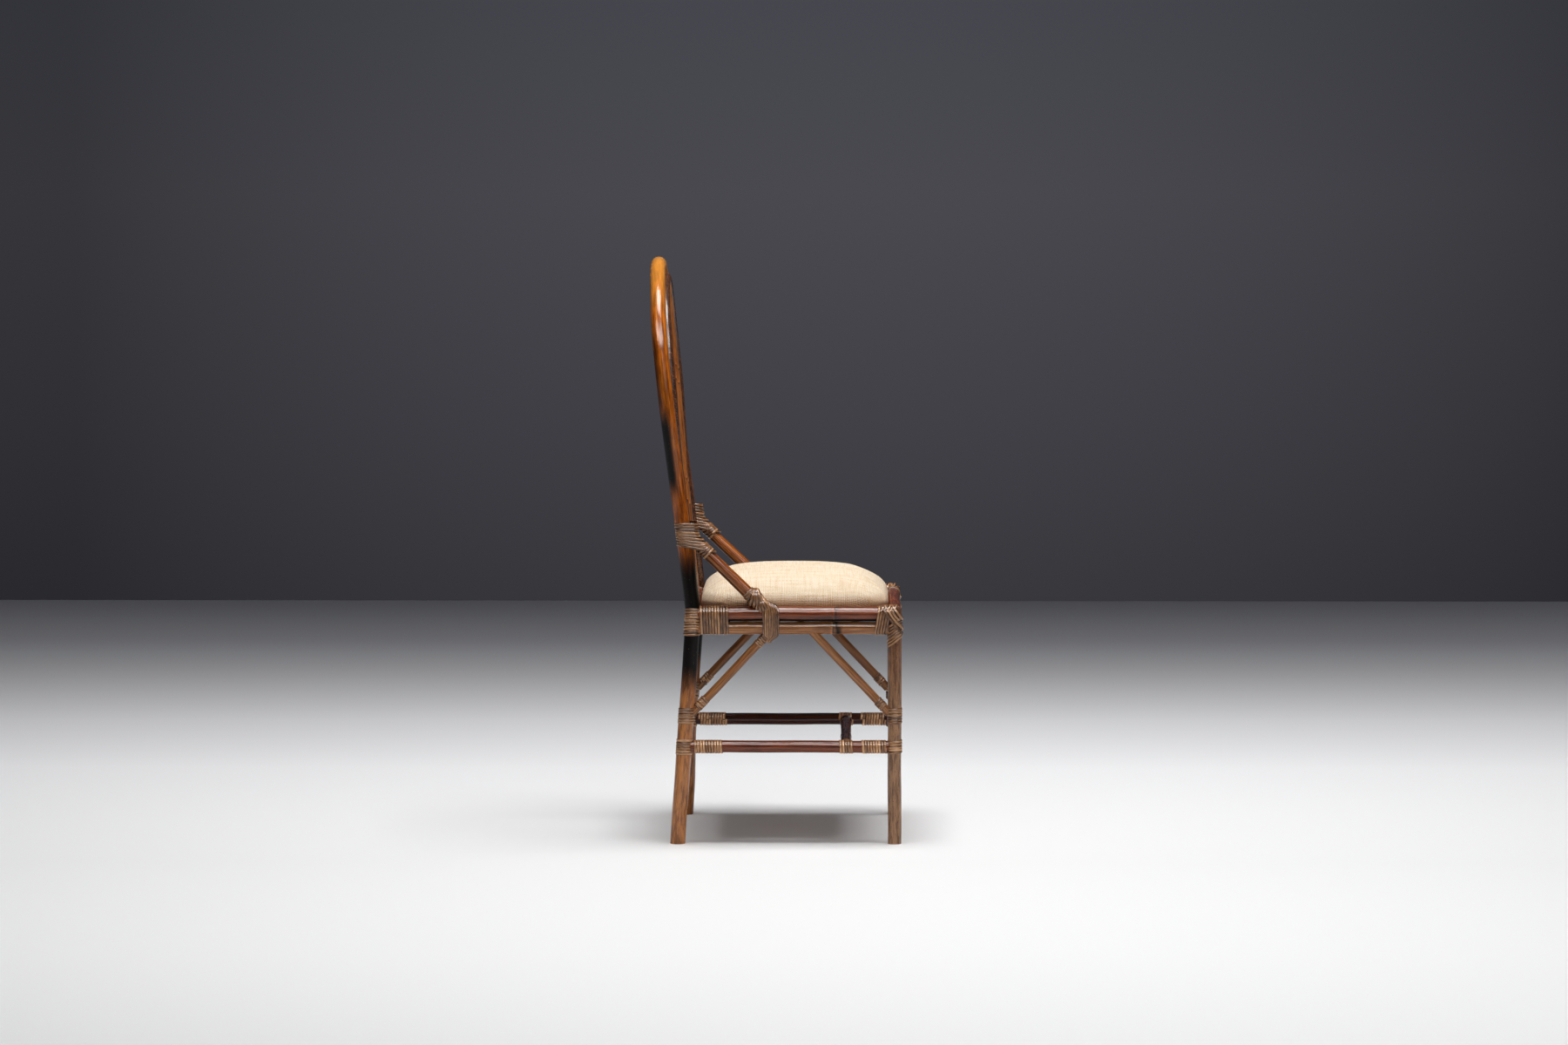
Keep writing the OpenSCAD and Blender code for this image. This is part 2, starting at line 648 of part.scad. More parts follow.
// Bands at the ends of the stretchers
rear_stretcher_turns = 10;
front_stretcher_turns = 8;
module rear_stretcher_bindings() {
  color(peel) placed() both_sides() {
    post_winding(stretcher_z, leg_turns);
    along_side(setback(stretcher_z) - hoop_r - wrap_t - beyond(rear_stretcher_turns), stretcher_z)
      winding(stretcher_d, rear_stretcher_turns);
  }
}
module front_stretcher_bindings() {
  color(peel) placed() both_sides() {
    front_leg_winding(stretcher_z, leg_turns);
    along_side(leg_r + wrap_t + beyond(front_stretcher_turns), stretcher_z)
      winding(stretcher_d, front_stretcher_turns);
  }
}
module cross_stretcher_bindings() {
  color(peel) placed() both_sides() {
    along_side(cross_back, stretcher_z) winding(stretcher_d, leg_turns);
    across(side_x - stretcher_d / 2 - wrap_t - beyond(end_turns), cross_back, stretcher_z)
      winding(cross_d, end_turns);
  }
}

back_hoop();
back_arch();
for (i = [1:cane_count]) back_cane(i);
front_leg();  // left_front_leg
mirror([1, 0, 0]) front_leg();  // right_front_leg
side_rail(upper_rail_z, "sienna");  // left_upper_rail
mirror([1, 0, 0])  // right_upper_rail
  side_rail(upper_rail_z, "sienna");
side_rail(lower_rail_z, "peru");  // left_lower_rail
mirror([1, 0, 0])  // right_lower_rail
  side_rail(lower_rail_z, "peru");
front_rail(upper_rail_z, upper_front_joints);  // front_upper_rail
front_rail(lower_rail_z, lower_front_joints);  // front_lower_rail
rear_rail(upper_rail_z, upper_rear_joints);  // rear_upper_rail
rear_rail(lower_rail_z, lower_rear_joints);  // rear_lower_rail
arm_brace();  // left_arm_brace
mirror([1, 0, 0]) arm_brace();  // right_arm_brace
front_strut();  // left_front_strut
mirror([1, 0, 0]) front_strut();  // right_front_strut
rear_strut();  // left_rear_strut
mirror([1, 0, 0]) rear_strut();  // right_rear_strut
stretcher();  // left_stretcher
mirror([1, 0, 0]) stretcher();  // right_stretcher
cross_stretcher();
for (i = [1:slat_count]) seat_pole(i);
seat_board();
seat_pad();
seat_cover();
frame_dowels();
seat_screws();
arm_top_bindings();
arm_foot_bindings();
rear_strut_top_bindings();
rear_post_bindings();
side_rail_bindings();
front_corner_bindings();
front_rail_bindings();
rear_rail_bindings();
rear_strut_foot_bindings();
front_strut_foot_bindings();
rear_stretcher_bindings();
front_stretcher_bindings();
cross_stretcher_bindings();
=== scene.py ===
# Bamboo side chair: bent and straight poles lashed with rattan peel, and a drop-in raffia cushion.
# Shapes are laid out in millimetres from the front leg line and end up in the frame's metres.
import math
from bisect import bisect_left
from itertools import accumulate, pairwise

import bmesh
import bpy
from mathutils import Matrix, Vector, noise
from mathutils.geometry import convex_hull_2d


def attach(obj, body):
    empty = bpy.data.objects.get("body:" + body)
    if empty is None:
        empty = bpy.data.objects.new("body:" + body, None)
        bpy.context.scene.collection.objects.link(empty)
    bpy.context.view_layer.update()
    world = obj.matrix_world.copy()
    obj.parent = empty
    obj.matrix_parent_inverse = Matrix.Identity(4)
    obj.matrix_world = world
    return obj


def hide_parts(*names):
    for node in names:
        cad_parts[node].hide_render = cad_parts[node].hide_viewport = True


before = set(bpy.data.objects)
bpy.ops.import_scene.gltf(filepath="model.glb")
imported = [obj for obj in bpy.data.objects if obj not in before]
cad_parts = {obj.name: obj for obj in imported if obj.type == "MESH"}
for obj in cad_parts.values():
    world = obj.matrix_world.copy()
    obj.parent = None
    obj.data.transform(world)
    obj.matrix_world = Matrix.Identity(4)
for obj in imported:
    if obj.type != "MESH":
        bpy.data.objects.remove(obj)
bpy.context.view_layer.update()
scene = bpy.context.scene

# ---- The hoop ---------------------------------------------------------------------------------
# One bamboo pole bent over a flame into both back legs, the sides and the crown of the back.
# The flame has left black scorched patches under an amber lacquer, and the colour turns paler
# toward the crown.
MIDDLE = 221.575  # from the front leg line back to the middle of the frame's box
SIDE = 196.0  # from the chair's middle out to a leg
BEND, SEAT_DEPTH = 430.0, 371.5  # the bend's height, and how far behind the leg line it is
FOOT_SPLAY, BACK_LEAN, BACK_CURVE = 29.5, 68.8, 0.6  # foot and crown lie that far behind the bend
CROWN, SPREAD_FROM, SHOULDER, SHOULDER_HALF = 1066.0, 610.0, 850.0, 226.0
HOOP_R, HOOP_JOINTS = 14.0, [1310, 1560]  # joints in mm along the pole from its right foot
LEFT_FOOT_AHEAD = 5.0


def linear(colour):
    """A colour for a socket or a ramp, from sRGB hex, a linear tint of three parts, or a grey."""
    if isinstance(colour, str):
        parts = [int(colour[i:i + 2], 16) / 255 for i in (1, 3, 5)]
        parts = [c / 12.92 if c <= 0.04045 else ((c + 0.055) / 1.055) ** 2.4 for c in parts]
    else:
        parts = colour if isinstance(colour, tuple) else (colour,) * 3
    return (*parts, 1.0)


def node_adder(tree):
    """Empties a node tree and returns the function that adds a node to it."""
    tree.nodes.clear()

    def add(kind, inputs=None, stops=None, out=0, **settings):
        """Adds a node and returns its output, or several where out lists them. Inputs, by name or
        number, are outputs to link, values or hex colours; stops fill a ramp."""
        made = tree.nodes.new("ShaderNode" + kind)
        for key, value in settings.items():
            setattr(made, key, value)
        for key, value in (inputs or {}).items():
            if isinstance(value, bpy.types.NodeSocket):
                tree.links.new(value, made.inputs[key])
            else:
                made.inputs[key].default_value = linear(value) if isinstance(value, str) else value
        if stops:
            ramp = made.color_ramp
            while len(ramp.elements) < len(stops):
                ramp.elements.new(0.5)
            for element, (place, colour) in zip(ramp.elements, stops):
                element.position, element.color = place, linear(colour)
        if isinstance(out, tuple):
            return [made.outputs[o] for o in out]
        return made.outputs[out] if len(made.outputs) else None

    return add


def new_finish(name):
    """An empty node material, and the function that adds a node to it."""
    finish = bpy.data.materials.new(name)
    finish.use_nodes = True
    return finish, node_adder(finish.node_tree)


# The settings of a Mix node that mixes colours, and of one that multiplies them.
MIX = {"data_type": "RGBA", "out": 2}
MULTIPLY = {"blend_type": "MULTIPLY", **MIX}


def lacquered_bamboo(name, dark, mid, light, fleck=0.35, worn=None, crown=None):
    """Bamboo skin under lacquer: fine fibres along the pole, long cloudy streaks, dark pith flecks,
    a pale and a black line at each growth joint, and soot where the pole was bent over a flame.
    Painted shade joins the soot where a pole's marks add it, on undersides, rear edges and far
    sides, and pale painted glints fleck the soot.
    The pole fades to the colour worn toward the floor, and to crown toward the back's top."""
    finish, add = new_finish(name)
    grain = add("Attribute", out="Vector", attribute_name="grain")
    joint = add("Attribute", out="Fac", attribute_name="joint")
    soot_and_shade_or_tone = add("Attribute", out="Fac", attribute_name="soot_and_shade_or_tone")

    def patch(across, along, detail=3.0):
        """Noise of that size in mm across and along the pole."""
        scaled = add("Mapping", {"Vector": grain, "Scale": (1 / across, 1 / across, 1 / along)})
        return add("TexNoise", {"Vector": scaled, "Scale": 1.0, "Detail": detail, "Roughness": 0.6})

    streak = patch(2.6, 85, 5.0)
    cloud = patch(16, 70)
    fibre = patch(0.55, 22, 2.0)
    speck = patch(0.9, 5.5, 2.0)
    colour = add("ValToRGB", {"Fac": streak}, [(0.30, dark), (0.50, mid), (0.70, light)])
    tone = add("ValToRGB", {"Fac": cloud}, [
        (0.28, (0.45, 0.40, 0.36)), (0.50, (0.90, 0.88, 0.86)), (0.72, 1.0)])
    colour = add("Mix", {0: 1.0, 6: colour, 7: tone}, **MULTIPLY)
    if worn:
        height = add("SeparateXYZ", {0: add("TexCoord", out="Object")}, out=2)
        low = add("MapRange", {"Value": height, "From Min": 0.42, "From Max": 0.24})
        low = add("Math", {0: low, 1: 0.62}, operation="MULTIPLY")
        colour = add("Mix", {0: low, 6: colour, 7: worn}, **MIX)
        stain = add("ValToRGB", {"Fac": patch(4.5, 30, 4.0)}, [
            (0.40, (0.44, 0.38, 0.34)), (0.50, (0.92, 0.90, 0.88)), (0.62, (1.22, 1.21, 1.20))])
        colour = add("Mix", {0: 0.8, 6: colour, 7: stain}, **MULTIPLY)
    if crown:
        high = add("MapRange", {
            "Value": height, "From Min": 0.98, "From Max": 1.08, "To Max": 0.7})
        colour = add("Mix", {0: high, 6: colour, 7: crown}, **MIX)
    lines = add("ValToRGB", {"Fac": fibre}, [(0.30, (0.62, 0.60, 0.58)), (0.62, 1)])
    colour = add("Mix", {0: 0.75, 6: colour, 7: lines}, **MULTIPLY)
    specks = add("ValToRGB", {"Fac": speck}, [(0.63, 0), (0.70, 1)])
    specks = add("Math", {0: specks, 1: fleck}, operation="MULTIPLY")
    colour = add("Mix", {0: specks, 6: colour, 7: "#1c0e07"}, **MIX)

    wander = add("Math", {0: streak, 1: 2.2, 2: -1.1}, operation="MULTIPLY_ADD")
    from_joint = add("Math", {0: joint, 1: wander}, operation="ADD")
    ring = add("MapRange", {"Value": from_joint, "From Min": -14.0, "From Max": 14.0})
    rings = add("ValToRGB", {"Fac": ring}, [
        (0.0, 0.5), (0.36, 0.30), (0.445, 0.05), (0.50, 0.22), (0.555, 0.80), (0.68, 0.5)])
    colour = add("Mix", {0: 0.85, 6: colour, 7: rings}, blend_type="OVERLAY", **MIX)

    # The soot mask also carries painted shade: the darkening some poles put on their undersides,
    # rear edges and far side.
    ragged = add("Math", {0: cloud, 1: 0.5, 2: -0.25}, operation="MULTIPLY_ADD")
    ragged = add("Math", {0: streak, 1: 0.3, 2: ragged}, operation="MULTIPLY_ADD")
    ragged = add("Math", {0: ragged, 1: soot_and_shade_or_tone}, operation="ADD")
    soot_and_shade = add("ValToRGB", {"Fac": ragged}, [
        (0.14, 0), (0.36, 0.45), (0.58, 0.76), (0.80, 0.93), (1.0, 1)])
    colour = add("Mix", {0: soot_and_shade, 6: colour, 7: "#070403"}, **MIX)
    # Pale specks in the soot: painted glints, standing for light caught on bubbles of burnt
    # lacquer.
    painted_glints = add("ValToRGB", {"Fac": patch(2.0, 3.6, 4.0)}, [(0.66, 0), (0.74, 1)])
    painted_glints = add("Math", {0: painted_glints, 1: soot_and_shade}, operation="MULTIPLY")
    painted_glints = add("Math", {0: painted_glints, 1: 0.35}, operation="MULTIPLY")
    colour = add("Mix", {0: painted_glints, 6: colour, 7: "#b9aea4"}, **MIX)
    lacquer = add("MapRange", {"Value": soot_and_shade, "To Min": 0.70, "To Max": 0.16})

    rough = add("MapRange", {"Value": cloud, "To Min": 0.38, "To Max": 0.55})
    bump = add("Bump", {"Height": fibre, "Strength": 0.3, "Distance": 0.00025})
    dips = add("Bump", {"Height": streak, "Strength": 0.35, "Distance": 0.0008})
    shader = add("BsdfPrincipled", {
        "Base Color": colour, "Roughness": rough, "IOR": 1.5, "Specular IOR Level": 0.06,
        "Normal": bump, "Coat Weight": lacquer, "Coat Roughness": 0.06, "Coat Normal": dips})
    add("OutputMaterial", {"Surface": shader})
    return finish


# Clear amber varnish on yellow bamboo: warm and glossy, paler at the worn feet and the crown.
AMBER = lacquered_bamboo("amber_lacquered_bamboo", "#74360a", "#c16614", "#e1882a", 0.35,
                         worn="#be8450", crown="#e0983a")


def sweep(bm, rings, values=()):
    """Carries a profile along by extruding its face ring by ring. Each vertex is marked with its
    values, for the finishes to read: where it lies along the grain in mm, then two numbers, which
    are the mm to a growth joint and the soot with painted shade on a pole, or a strip's roundness,
    which sets the painted shade at its edges, and its tone."""
    numbers, grain = bm.verts.layers.float, bm.verts.layers.float_vector
    marks = [kind.get(name) or kind.new(name) for kind, name in (
        (grain, "grain"), (numbers, "joint"), (numbers, "soot_and_shade_or_tone"))] if values else []
    face = bm.faces.new([bm.verts.new(p) for p in rings[0]])
    swept = list(face.verts)
    for ring in rings[1:]:
        face = bmesh.ops.extrude_discrete_faces(bm, faces=[face])["faces"][0]
        for vert, place in zip(face.verts, ring):
            vert.co = place
        swept += list(face.verts)
    bm.faces.new(list(reversed(swept[:len(rings[0])])))
    for vert, its_values in zip(swept, values):
        for mark, value in zip(marks, its_values):
            vert[mark] = value


def distances(points):
    """How far along their line each point lies."""
    return [0.0, *accumulate((b - a).length for a, b in pairwise(points))]


def stretch_at(run, s):
    """Which stretch of a line holds the distance s, and the share of that stretch passed there."""
    k = max(0, min(len(run) - 2, bisect_left(run, s) - 1))
    return k, (s - run[k]) / max(1e-6, run[k + 1] - run[k])


def pole(bm, centres, radius, joints=(), sides=24, up=(0, 1, 0), soot_and_shade=None, seed=0.0,
         level_ends=False, taper=0.0):
    """A bamboo pole through centres, a list of points in mm, with growth joints at those distances.
    It is a little out of round, wanders a little, and swells into a ridge and a groove at a joint.
    level_ends saws both ends level, on the floor. It tapers by that share toward its first end."""
    run = distances(centres)
    total = run[-1]
    steps = max(2, round(total / 14))  # a ring about each 14 mm
    spots = [total * i / steps for i in range(steps + 1)]
    spots = [s for s in spots if all(abs(s - j) > 11 for j in joints)]
    finer = (-9, -6, -4, -2.6, -1.6, -0.8, 0, 0.8, 1.6, 2.6, 4, 6, 9)  # mm from a growth joint
    spots += [j + d for j in joints for d in finer if 0 < j + d < total]
    spots.sort()
    rings, values = [], []
    for s in spots:
        k, share = stretch_at(run, s)
        centre = centres[k].lerp(centres[k + 1], share)
        before, after = centres[max(0, k - 1)], centres[min(len(centres) - 1, k + 2)]
        here = centres[k + 1] - centres[k]
        ahead = here + (after - centres[k + 1])
        behind = here + (centres[k] - before)
        along = behind.normalized().lerp(ahead.normalized(), share).normalized()
        side = along.cross(Vector(up)).normalized()
        over = along.cross(side)
        calm = min(1.0, s / 40, (total - s) / 40)
        drift = Vector((noise.noise((s / 110, seed, 1.5)), noise.noise((s / 110, seed, 7.5)), 0))
        drift *= calm
        centre = centre + side * drift.x * 0.9 + over * drift.y * 0.9
        ring = []
        for n in range(sides):
            angle = math.tau * n / sides
            out = side * math.cos(angle) + over * math.sin(angle)
            near = min((s - j + 0.9 * math.cos(angle + seed) for j in joints), key=abs,
                       default=99.0)
            ridge = (0.35 * math.exp(-(near / 6.5) ** 2)
                     + 0.35 * math.exp(-((near - 1.3) / 1.0) ** 2)
                     - 0.40 * math.exp(-((near + 0.7) / 0.8) ** 2))
            lump = 0.012 * noise.noise((math.cos(angle) * 0.7 + seed, math.sin(angle) * 0.7,
                                        s / 60))
            r = radius * (1 + lump - taper * (1 - s / total)) + ridge
            place = centre + out * r
            if level_ends and s in (spots[0], spots[-1]):
                place -= along * (place.z / along.z)
            ring.append(place)
            dirt = soot_and_shade(centre, out, s) if soot_and_shade else 0.0
            skin = Vector((math.cos(angle) * radius + seed * 31, math.sin(angle) * radius,
                           s + seed * 57))
            values.append((skin, max(-60.0, min(60.0, near)), dirt))
        rings.append(ring)
    sweep(bm, rings, values)


def made_mesh(bm, name):
    """The finished shape as a mesh."""
    mesh = bpy.data.meshes.new(name)
    bm.to_mesh(mesh)
    bm.free()
    return mesh


def placed(name, data):
    """A new object in the scene with that mesh, lamp or camera."""
    thing = bpy.data.objects.new(name, data)
    scene.collection.objects.link(thing)
    return thing


def make_piece(bm, name, finish, slot, *nodes):
    """Makes the shape a piece of the chair in the frame's metres, in place of those CAD nodes."""
    bmesh.ops.transform(bm, verts=bm.verts, matrix=Matrix.Scale(0.001, 4)
                        @ Matrix.Translation((0, -MIDDLE, 0)))
    bmesh.ops.recalc_face_normals(bm, faces=bm.faces)
    mesh = made_mesh(bm, name)
    mesh.shade_smooth()
    mesh.set_sharp_from_angle(angle=math.radians(48))
    mesh.materials.append(finish)
    piece = placed(name, mesh)
    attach(piece, "root")
    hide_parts(*nodes)
    return piece


def setback(z):
    """How far the bent pole lies behind the front leg line at height z."""
    if z < BEND:
        return SEAT_DEPTH + FOOT_SPLAY * (1 - z / BEND)
    up = min(1.0, (z - BEND) / (CROWN - BEND))
    return SEAT_DEPTH + BACK_LEAN * (up + BACK_CURVE * up * up * (1 - up))


def half_width(z):
    """Half the distance between the sides of the hoop at height z, up to the shoulder."""
    share = max(0.0, (z - SPREAD_FROM) / (SHOULDER - SPREAD_FROM))
    return SIDE + (SHOULDER_HALF - SIDE) * (1 - math.cos(math.pi * share)) / 2


def arch_line(inset, foot):
    """The line of an arch inside the hoop by that inset, from its -X foot over the crown."""
    levels = [foot + (SHOULDER - foot) * i / 60 for i in range(60)]
    side = [(half_width(z) - inset, z) for z in levels]
    turns = [math.radians(a) for a in range(0, 181, 3)]
    crown = [((SHOULDER_HALF - inset) * math.cos(a),
              SHOULDER + (CROWN - SHOULDER - inset) * math.sin(a)) for a in turns]
    seen = [(-x, z) for x, z in side + crown] + [(x, z) for x, z in reversed(side)]
    return [Vector((x, setback(z), z)) for x, z in seen]


def fade(value, low, high):
    """0 below low, 1 above high, smooth between."""
    t = max(0.0, min(1.0, (value - low) / (high - low)))
    return t * t * (3 - 2 * t)


def hoop_soot_and_shade(centre, out, s):
    """Soot all round the pole at the seat, and up its rear side above the arms. Painted shade
    darkens the rear edge from above the arms to the shoulder, and the far, left side a little below
    the shoulder.
    """
    z = centre.z
    seat = fade(z, 262, 350) * (1 - fade(z, 482, 572))
    rear = fade(z, 630, 700) * (1 - fade(z, 765, 830)) * fade(out.y, -0.45, 0.35)
    # Painted shade: the rear edge, turned from the light, darker from above the arms up.
    painted_edge_shade = 0.45 * fade(z, 600, 700) * (1 - fade(z, 900, 980)) * fade(out.y, 0.2, 0.9)
    # Painted shade: the far, left side of the hoop a little darker below the shoulder.
    far_side_shade = 0.12 * fade(centre.x, 0, 100) * (1 - fade(z, 760, 900))
    return max(seat, rear, painted_edge_shade) + far_side_shade


hoop_path = arch_line(0, 0)
for place in hoop_path:
    if place.x > 0:  # the left foot stands a little further forward
        place.y -= LEFT_FOOT_AHEAD * (1 - fade(place.z, 40, 165))
bm = bmesh.new()
pole(bm, hoop_path, HOOP_R, HOOP_JOINTS, 32, soot_and_shade=hoop_soot_and_shade, seed=0.37, level_ends=True)
make_piece(bm, "hoop", AMBER, "bamboo_amber", "back_hoop")

# ---- The inner arch and the canes of the back ---------------------------------------------------
# A thinner pole inside the hoop, covered with a plait of peel, and five upright canes that end
# under it. The photograph shows them only edge-on, so the number of canes is a guess.
ARCH_R, ARCH_INSET, ARCH_AHEAD = 8.5, 24.85, 13.0
UPPER_RAIL, UPPER_R = 428.5, 13.7  # the rails that carry the back and the seat
CANE_COUNT, CANE_PITCH, CANE_R = 5, 56.0, 6.0
PLAIT_PITCH = 5.2


def plait(bm, centres, radius):
    """A pole covered with a plait: slanting strips that meet in chevrons down the middle of it."""
    run = distances(centres)
    total, sides = run[-1], 24
    count = round(total / 1.3)  # a ring each 1.3 mm, to draw the strips
    rings, values = [], []
    for i in range(count + 1):
        s = total * i / count
        k, share = stretch_at(run, s)
        centre = centres[k].lerp(centres[k + 1], share)
        along = (centres[min(len(centres) - 1, k + 2)] - centres[max(0, k - 1)]).normalized()
        side = along.cross(Vector((0, 1, 0))).normalized()
        over = along.cross(side)
        ring = []
        for n in range(sides):
            angle = math.tau * n / sides
            fold = abs(math.remainder(angle, math.pi / 2)) * radius
            half = PLAIT_PITCH / 2 if int(angle / (math.pi / 4)) % 2 else 0
            phase = (s + fold * 1.1 + half) / PLAIT_PITCH
            hill = abs(math.sin(math.pi * phase))
            ring.append(centre + (side * math.cos(angle) + over * math.sin(angle))
                        * (radius - 1.0 + 1.1 * hill ** 0.6))
            values.append((Vector((fold * 3, phase * PLAIT_PITCH, s)), hill,
                           math.floor(phase) * 0.618 % 1))
        rings.append(ring)
    sweep(bm, rings, values)


def peel_finish(name, dark, mid, light):
    """Rattan peel: fibres along each strip, strips of differing tone, and painted shade at their
    edges, in the crevices between strips.
    """
    finish, add = new_finish(name)
    grain = add("Attribute", out="Vector", attribute_name="grain")
    crown = add("Attribute", out="Fac", attribute_name="joint")
    tone = add("Attribute", out="Fac", attribute_name="soot_and_shade_or_tone")
    fine = add("Mapping", {"Vector": grain, "Scale": (1 / 0.75, 1 / 34, 1 / 34)})
    fibre = add("TexNoise", {"Vector": fine, "Scale": 1.0, "Detail": 3.0})
    long = add("Mapping", {"Vector": grain, "Scale": (1 / 3.0, 1 / 12, 1 / 12)})
    cloud = add("TexNoise", {"Vector": long, "Scale": 1.0, "Detail": 2.0})
    mixed = add("Math", {0: tone, 1: 0.38, 2: 0.06}, operation="MULTIPLY_ADD")
    mixed = add("Math", {0: cloud, 1: 0.7, 2: mixed}, operation="MULTIPLY_ADD")
    colour = add("ValToRGB", {"Fac": mixed}, [(0.30, dark), (0.58, mid), (0.85, light)])
    lines = add("ValToRGB", {"Fac": fibre}, [(0.36, (0.36, 0.31, 0.27)), (0.56, 1)])
    colour = add("Mix", {0: 0.85, 6: colour, 7: lines}, **MULTIPLY)
    # Painted shade: near black at each strip's edge, where strips meet.
    painted_edge_shade = add("ValToRGB", {"Fac": crown}, [
        (0.0, (0.03, 0.02, 0.015)), (0.40, (0.36, 0.32, 0.29)), (0.85, 1)])
    colour = add("Mix", {0: 1.0, 6: colour, 7: painted_edge_shade}, **MULTIPLY)
    height = add("SeparateXYZ", {0: add("TexCoord", out="Object")}, out=2)
    low = add("MapRange", {"Value": height, "From Min": 0.224, "From Max": 0.204})
    paler = add("Mix", {0: 1.0, 6: colour, 7: (1.60, 1.72, 1.90, 1)}, **MULTIPLY)
    colour = add("Mix", {0: low, 6: colour, 7: paler}, **MIX)
    bump = add("Bump", {"Height": fibre, "Strength": 0.35, "Distance": 0.0002})
    shader = add("BsdfPrincipled", {
        "Base Color": colour, "Roughness": 0.45, "IOR": 1.5, "Specular IOR Level": 0.12,
        "Normal": bump, "Coat Weight": 0.8, "Coat Roughness": 0.16})
    add("OutputMaterial", {"Surface": shader})
    return finish


# The skin of rattan, split into strips and varnished dark: satin, with near-black painted shade
# between the strips.
DARK_PEEL = peel_finish("dark_rattan_peel", "#2c170d", "#5a3420", "#8a5a38")
# Clear varnish on greyer bamboo: a plain tan with more dark flecks.
TAN = lacquered_bamboo("tan_lacquered_bamboo", "#603c20", "#a4693c", "#cc945e", 0.45)
arch_path = [p - Vector((0, ARCH_AHEAD * (0.45 + 0.55 * fade(p.z, 680, 860)), 0))
             for p in arch_line(ARCH_INSET, UPPER_RAIL + UPPER_R - 3)]
bm = bmesh.new()
plait(bm, arch_path, ARCH_R)
make_piece(bm, "plaited_arch", DARK_PEEL, "peel", "back_arch")

rise = CROWN - SHOULDER - ARCH_INSET - ARCH_R - 0.5
reach = SHOULDER_HALF - ARCH_INSET - ARCH_R - 0.5
foot = UPPER_RAIL + UPPER_R - 1
for number in range(CANE_COUNT):
    x = (number - CANE_COUNT // 2) * CANE_PITCH
    top = SHOULDER + rise * math.sqrt(1 - (x / reach) ** 2)
    heights = [foot + (top - foot) * i / 24 for i in range(25)]
    bm = bmesh.new()
    line = [Vector((x, setback(z) - ARCH_AHEAD * fade(z, 440, 900), z)) for z in heights]
    pole(bm, line, CANE_R, [150 + 37 * number % 90, 392 + 23 * number % 60], 16, seed=1.7 + number)
    make_piece(bm, f"cane_{number + 1}", AMBER if number % 2 else TAN, "bamboo_tan",
               f"back_cane_{number + 1}")

# ---- Legs, rails, braces and stretchers ---------------------------------------------------------
# Straight bamboo poles in five depths of colour, butted on each other and held by the lashings. The
# sides are alike, but the left front foot stands further forward and the left stretcher higher.
LEG_R, LEG_AHEAD, LEG_TOP, LEFT_LEG_AHEAD = 12.6, 1.3, 440.0, 4.0
LOWER_RAIL, RAIL_R = 402.0, 11.3
BUTT, UPPER_END, LOWER_END = 10.0, 364.0, 365.0  # ends of the side poles, behind the leg line
ARM_FOOT, ARM_TOP, ARM_R, ARM_FOOT_R, ARM_TAPER = 229.43, 583.0, 11.2, 11.2 * 1.08, 0.18
FRONT_STRUT, FRONT_RISE, REAR_STRUT, REAR_RISE, STRUT_R = 234.2, 162.0, 232.0, 168.0, 7.75
arm_slope, front_slope, rear_slope = (math.radians(a) for a in (44.6, 46.8, 46.4))
STRETCHER, STRETCHER_R, LEFT_HIGHER = 181.0, 11.3, 3.2
CROSS_BACK, CROSS_R = 88.6, 10.0
# A brown stain that feet have worn thin: many dark flecks, and paler toward the floor.
BROWN = lacquered_bamboo("brown_lacquered_bamboo", "#381e0e", "#70401e", "#946038", 0.90,
                         worn="#b28762")
# A red-brown stain under clear varnish: deep and dark, so that its highlights stand out.
DARK = lacquered_bamboo("dark_red_lacquered_bamboo", "#3c1408", "#783616", "#a2542c", 0.40)
# The same stain made darker for the stretcher on the far, left side, as painted shade: close to
# black, red only where light falls.
DARK_FAR_SIDE_SHADED = lacquered_bamboo("dark_red_bamboo_far_side_shaded", "#1c0804", "#3f170b", "#5c2a18", 0.40)
# Amber varnish over strongly flamed bamboo: streaks from black-brown to light orange.
BRACE = lacquered_bamboo("brace_lacquered_bamboo", "#2c0e03", "#96480c", "#f0a04a", 0.45)


def rail_soot(centre, out, s):
    """A narrow black scorch beside the growth joint."""
    return 0.95 * math.exp(-((s - 95.5 - 1.5 * out.z) / 2.2) ** 2)


def arm_dark_end_and_shade(centre, out, s):
    """Darker near the upper end, and painted shade along the underside."""
    return 0.36 * (1 - fade(s, 15, 80)) + 0.42 * fade(-out.z, -0.1, 0.7)


def strut_shade(centre, out, s):
    """Painted shade along the underside, and more on the far, left side of the chair."""
    return 0.24 * fade(-out.z, 0.1, 0.9) + (0.16 if centre.x > 0 else 0.0)


def under_shade(centre, out, s):
    """Painted shade on the underside, over the lower rail below it."""
    return fade(-out.z, 0.5, 0.85)


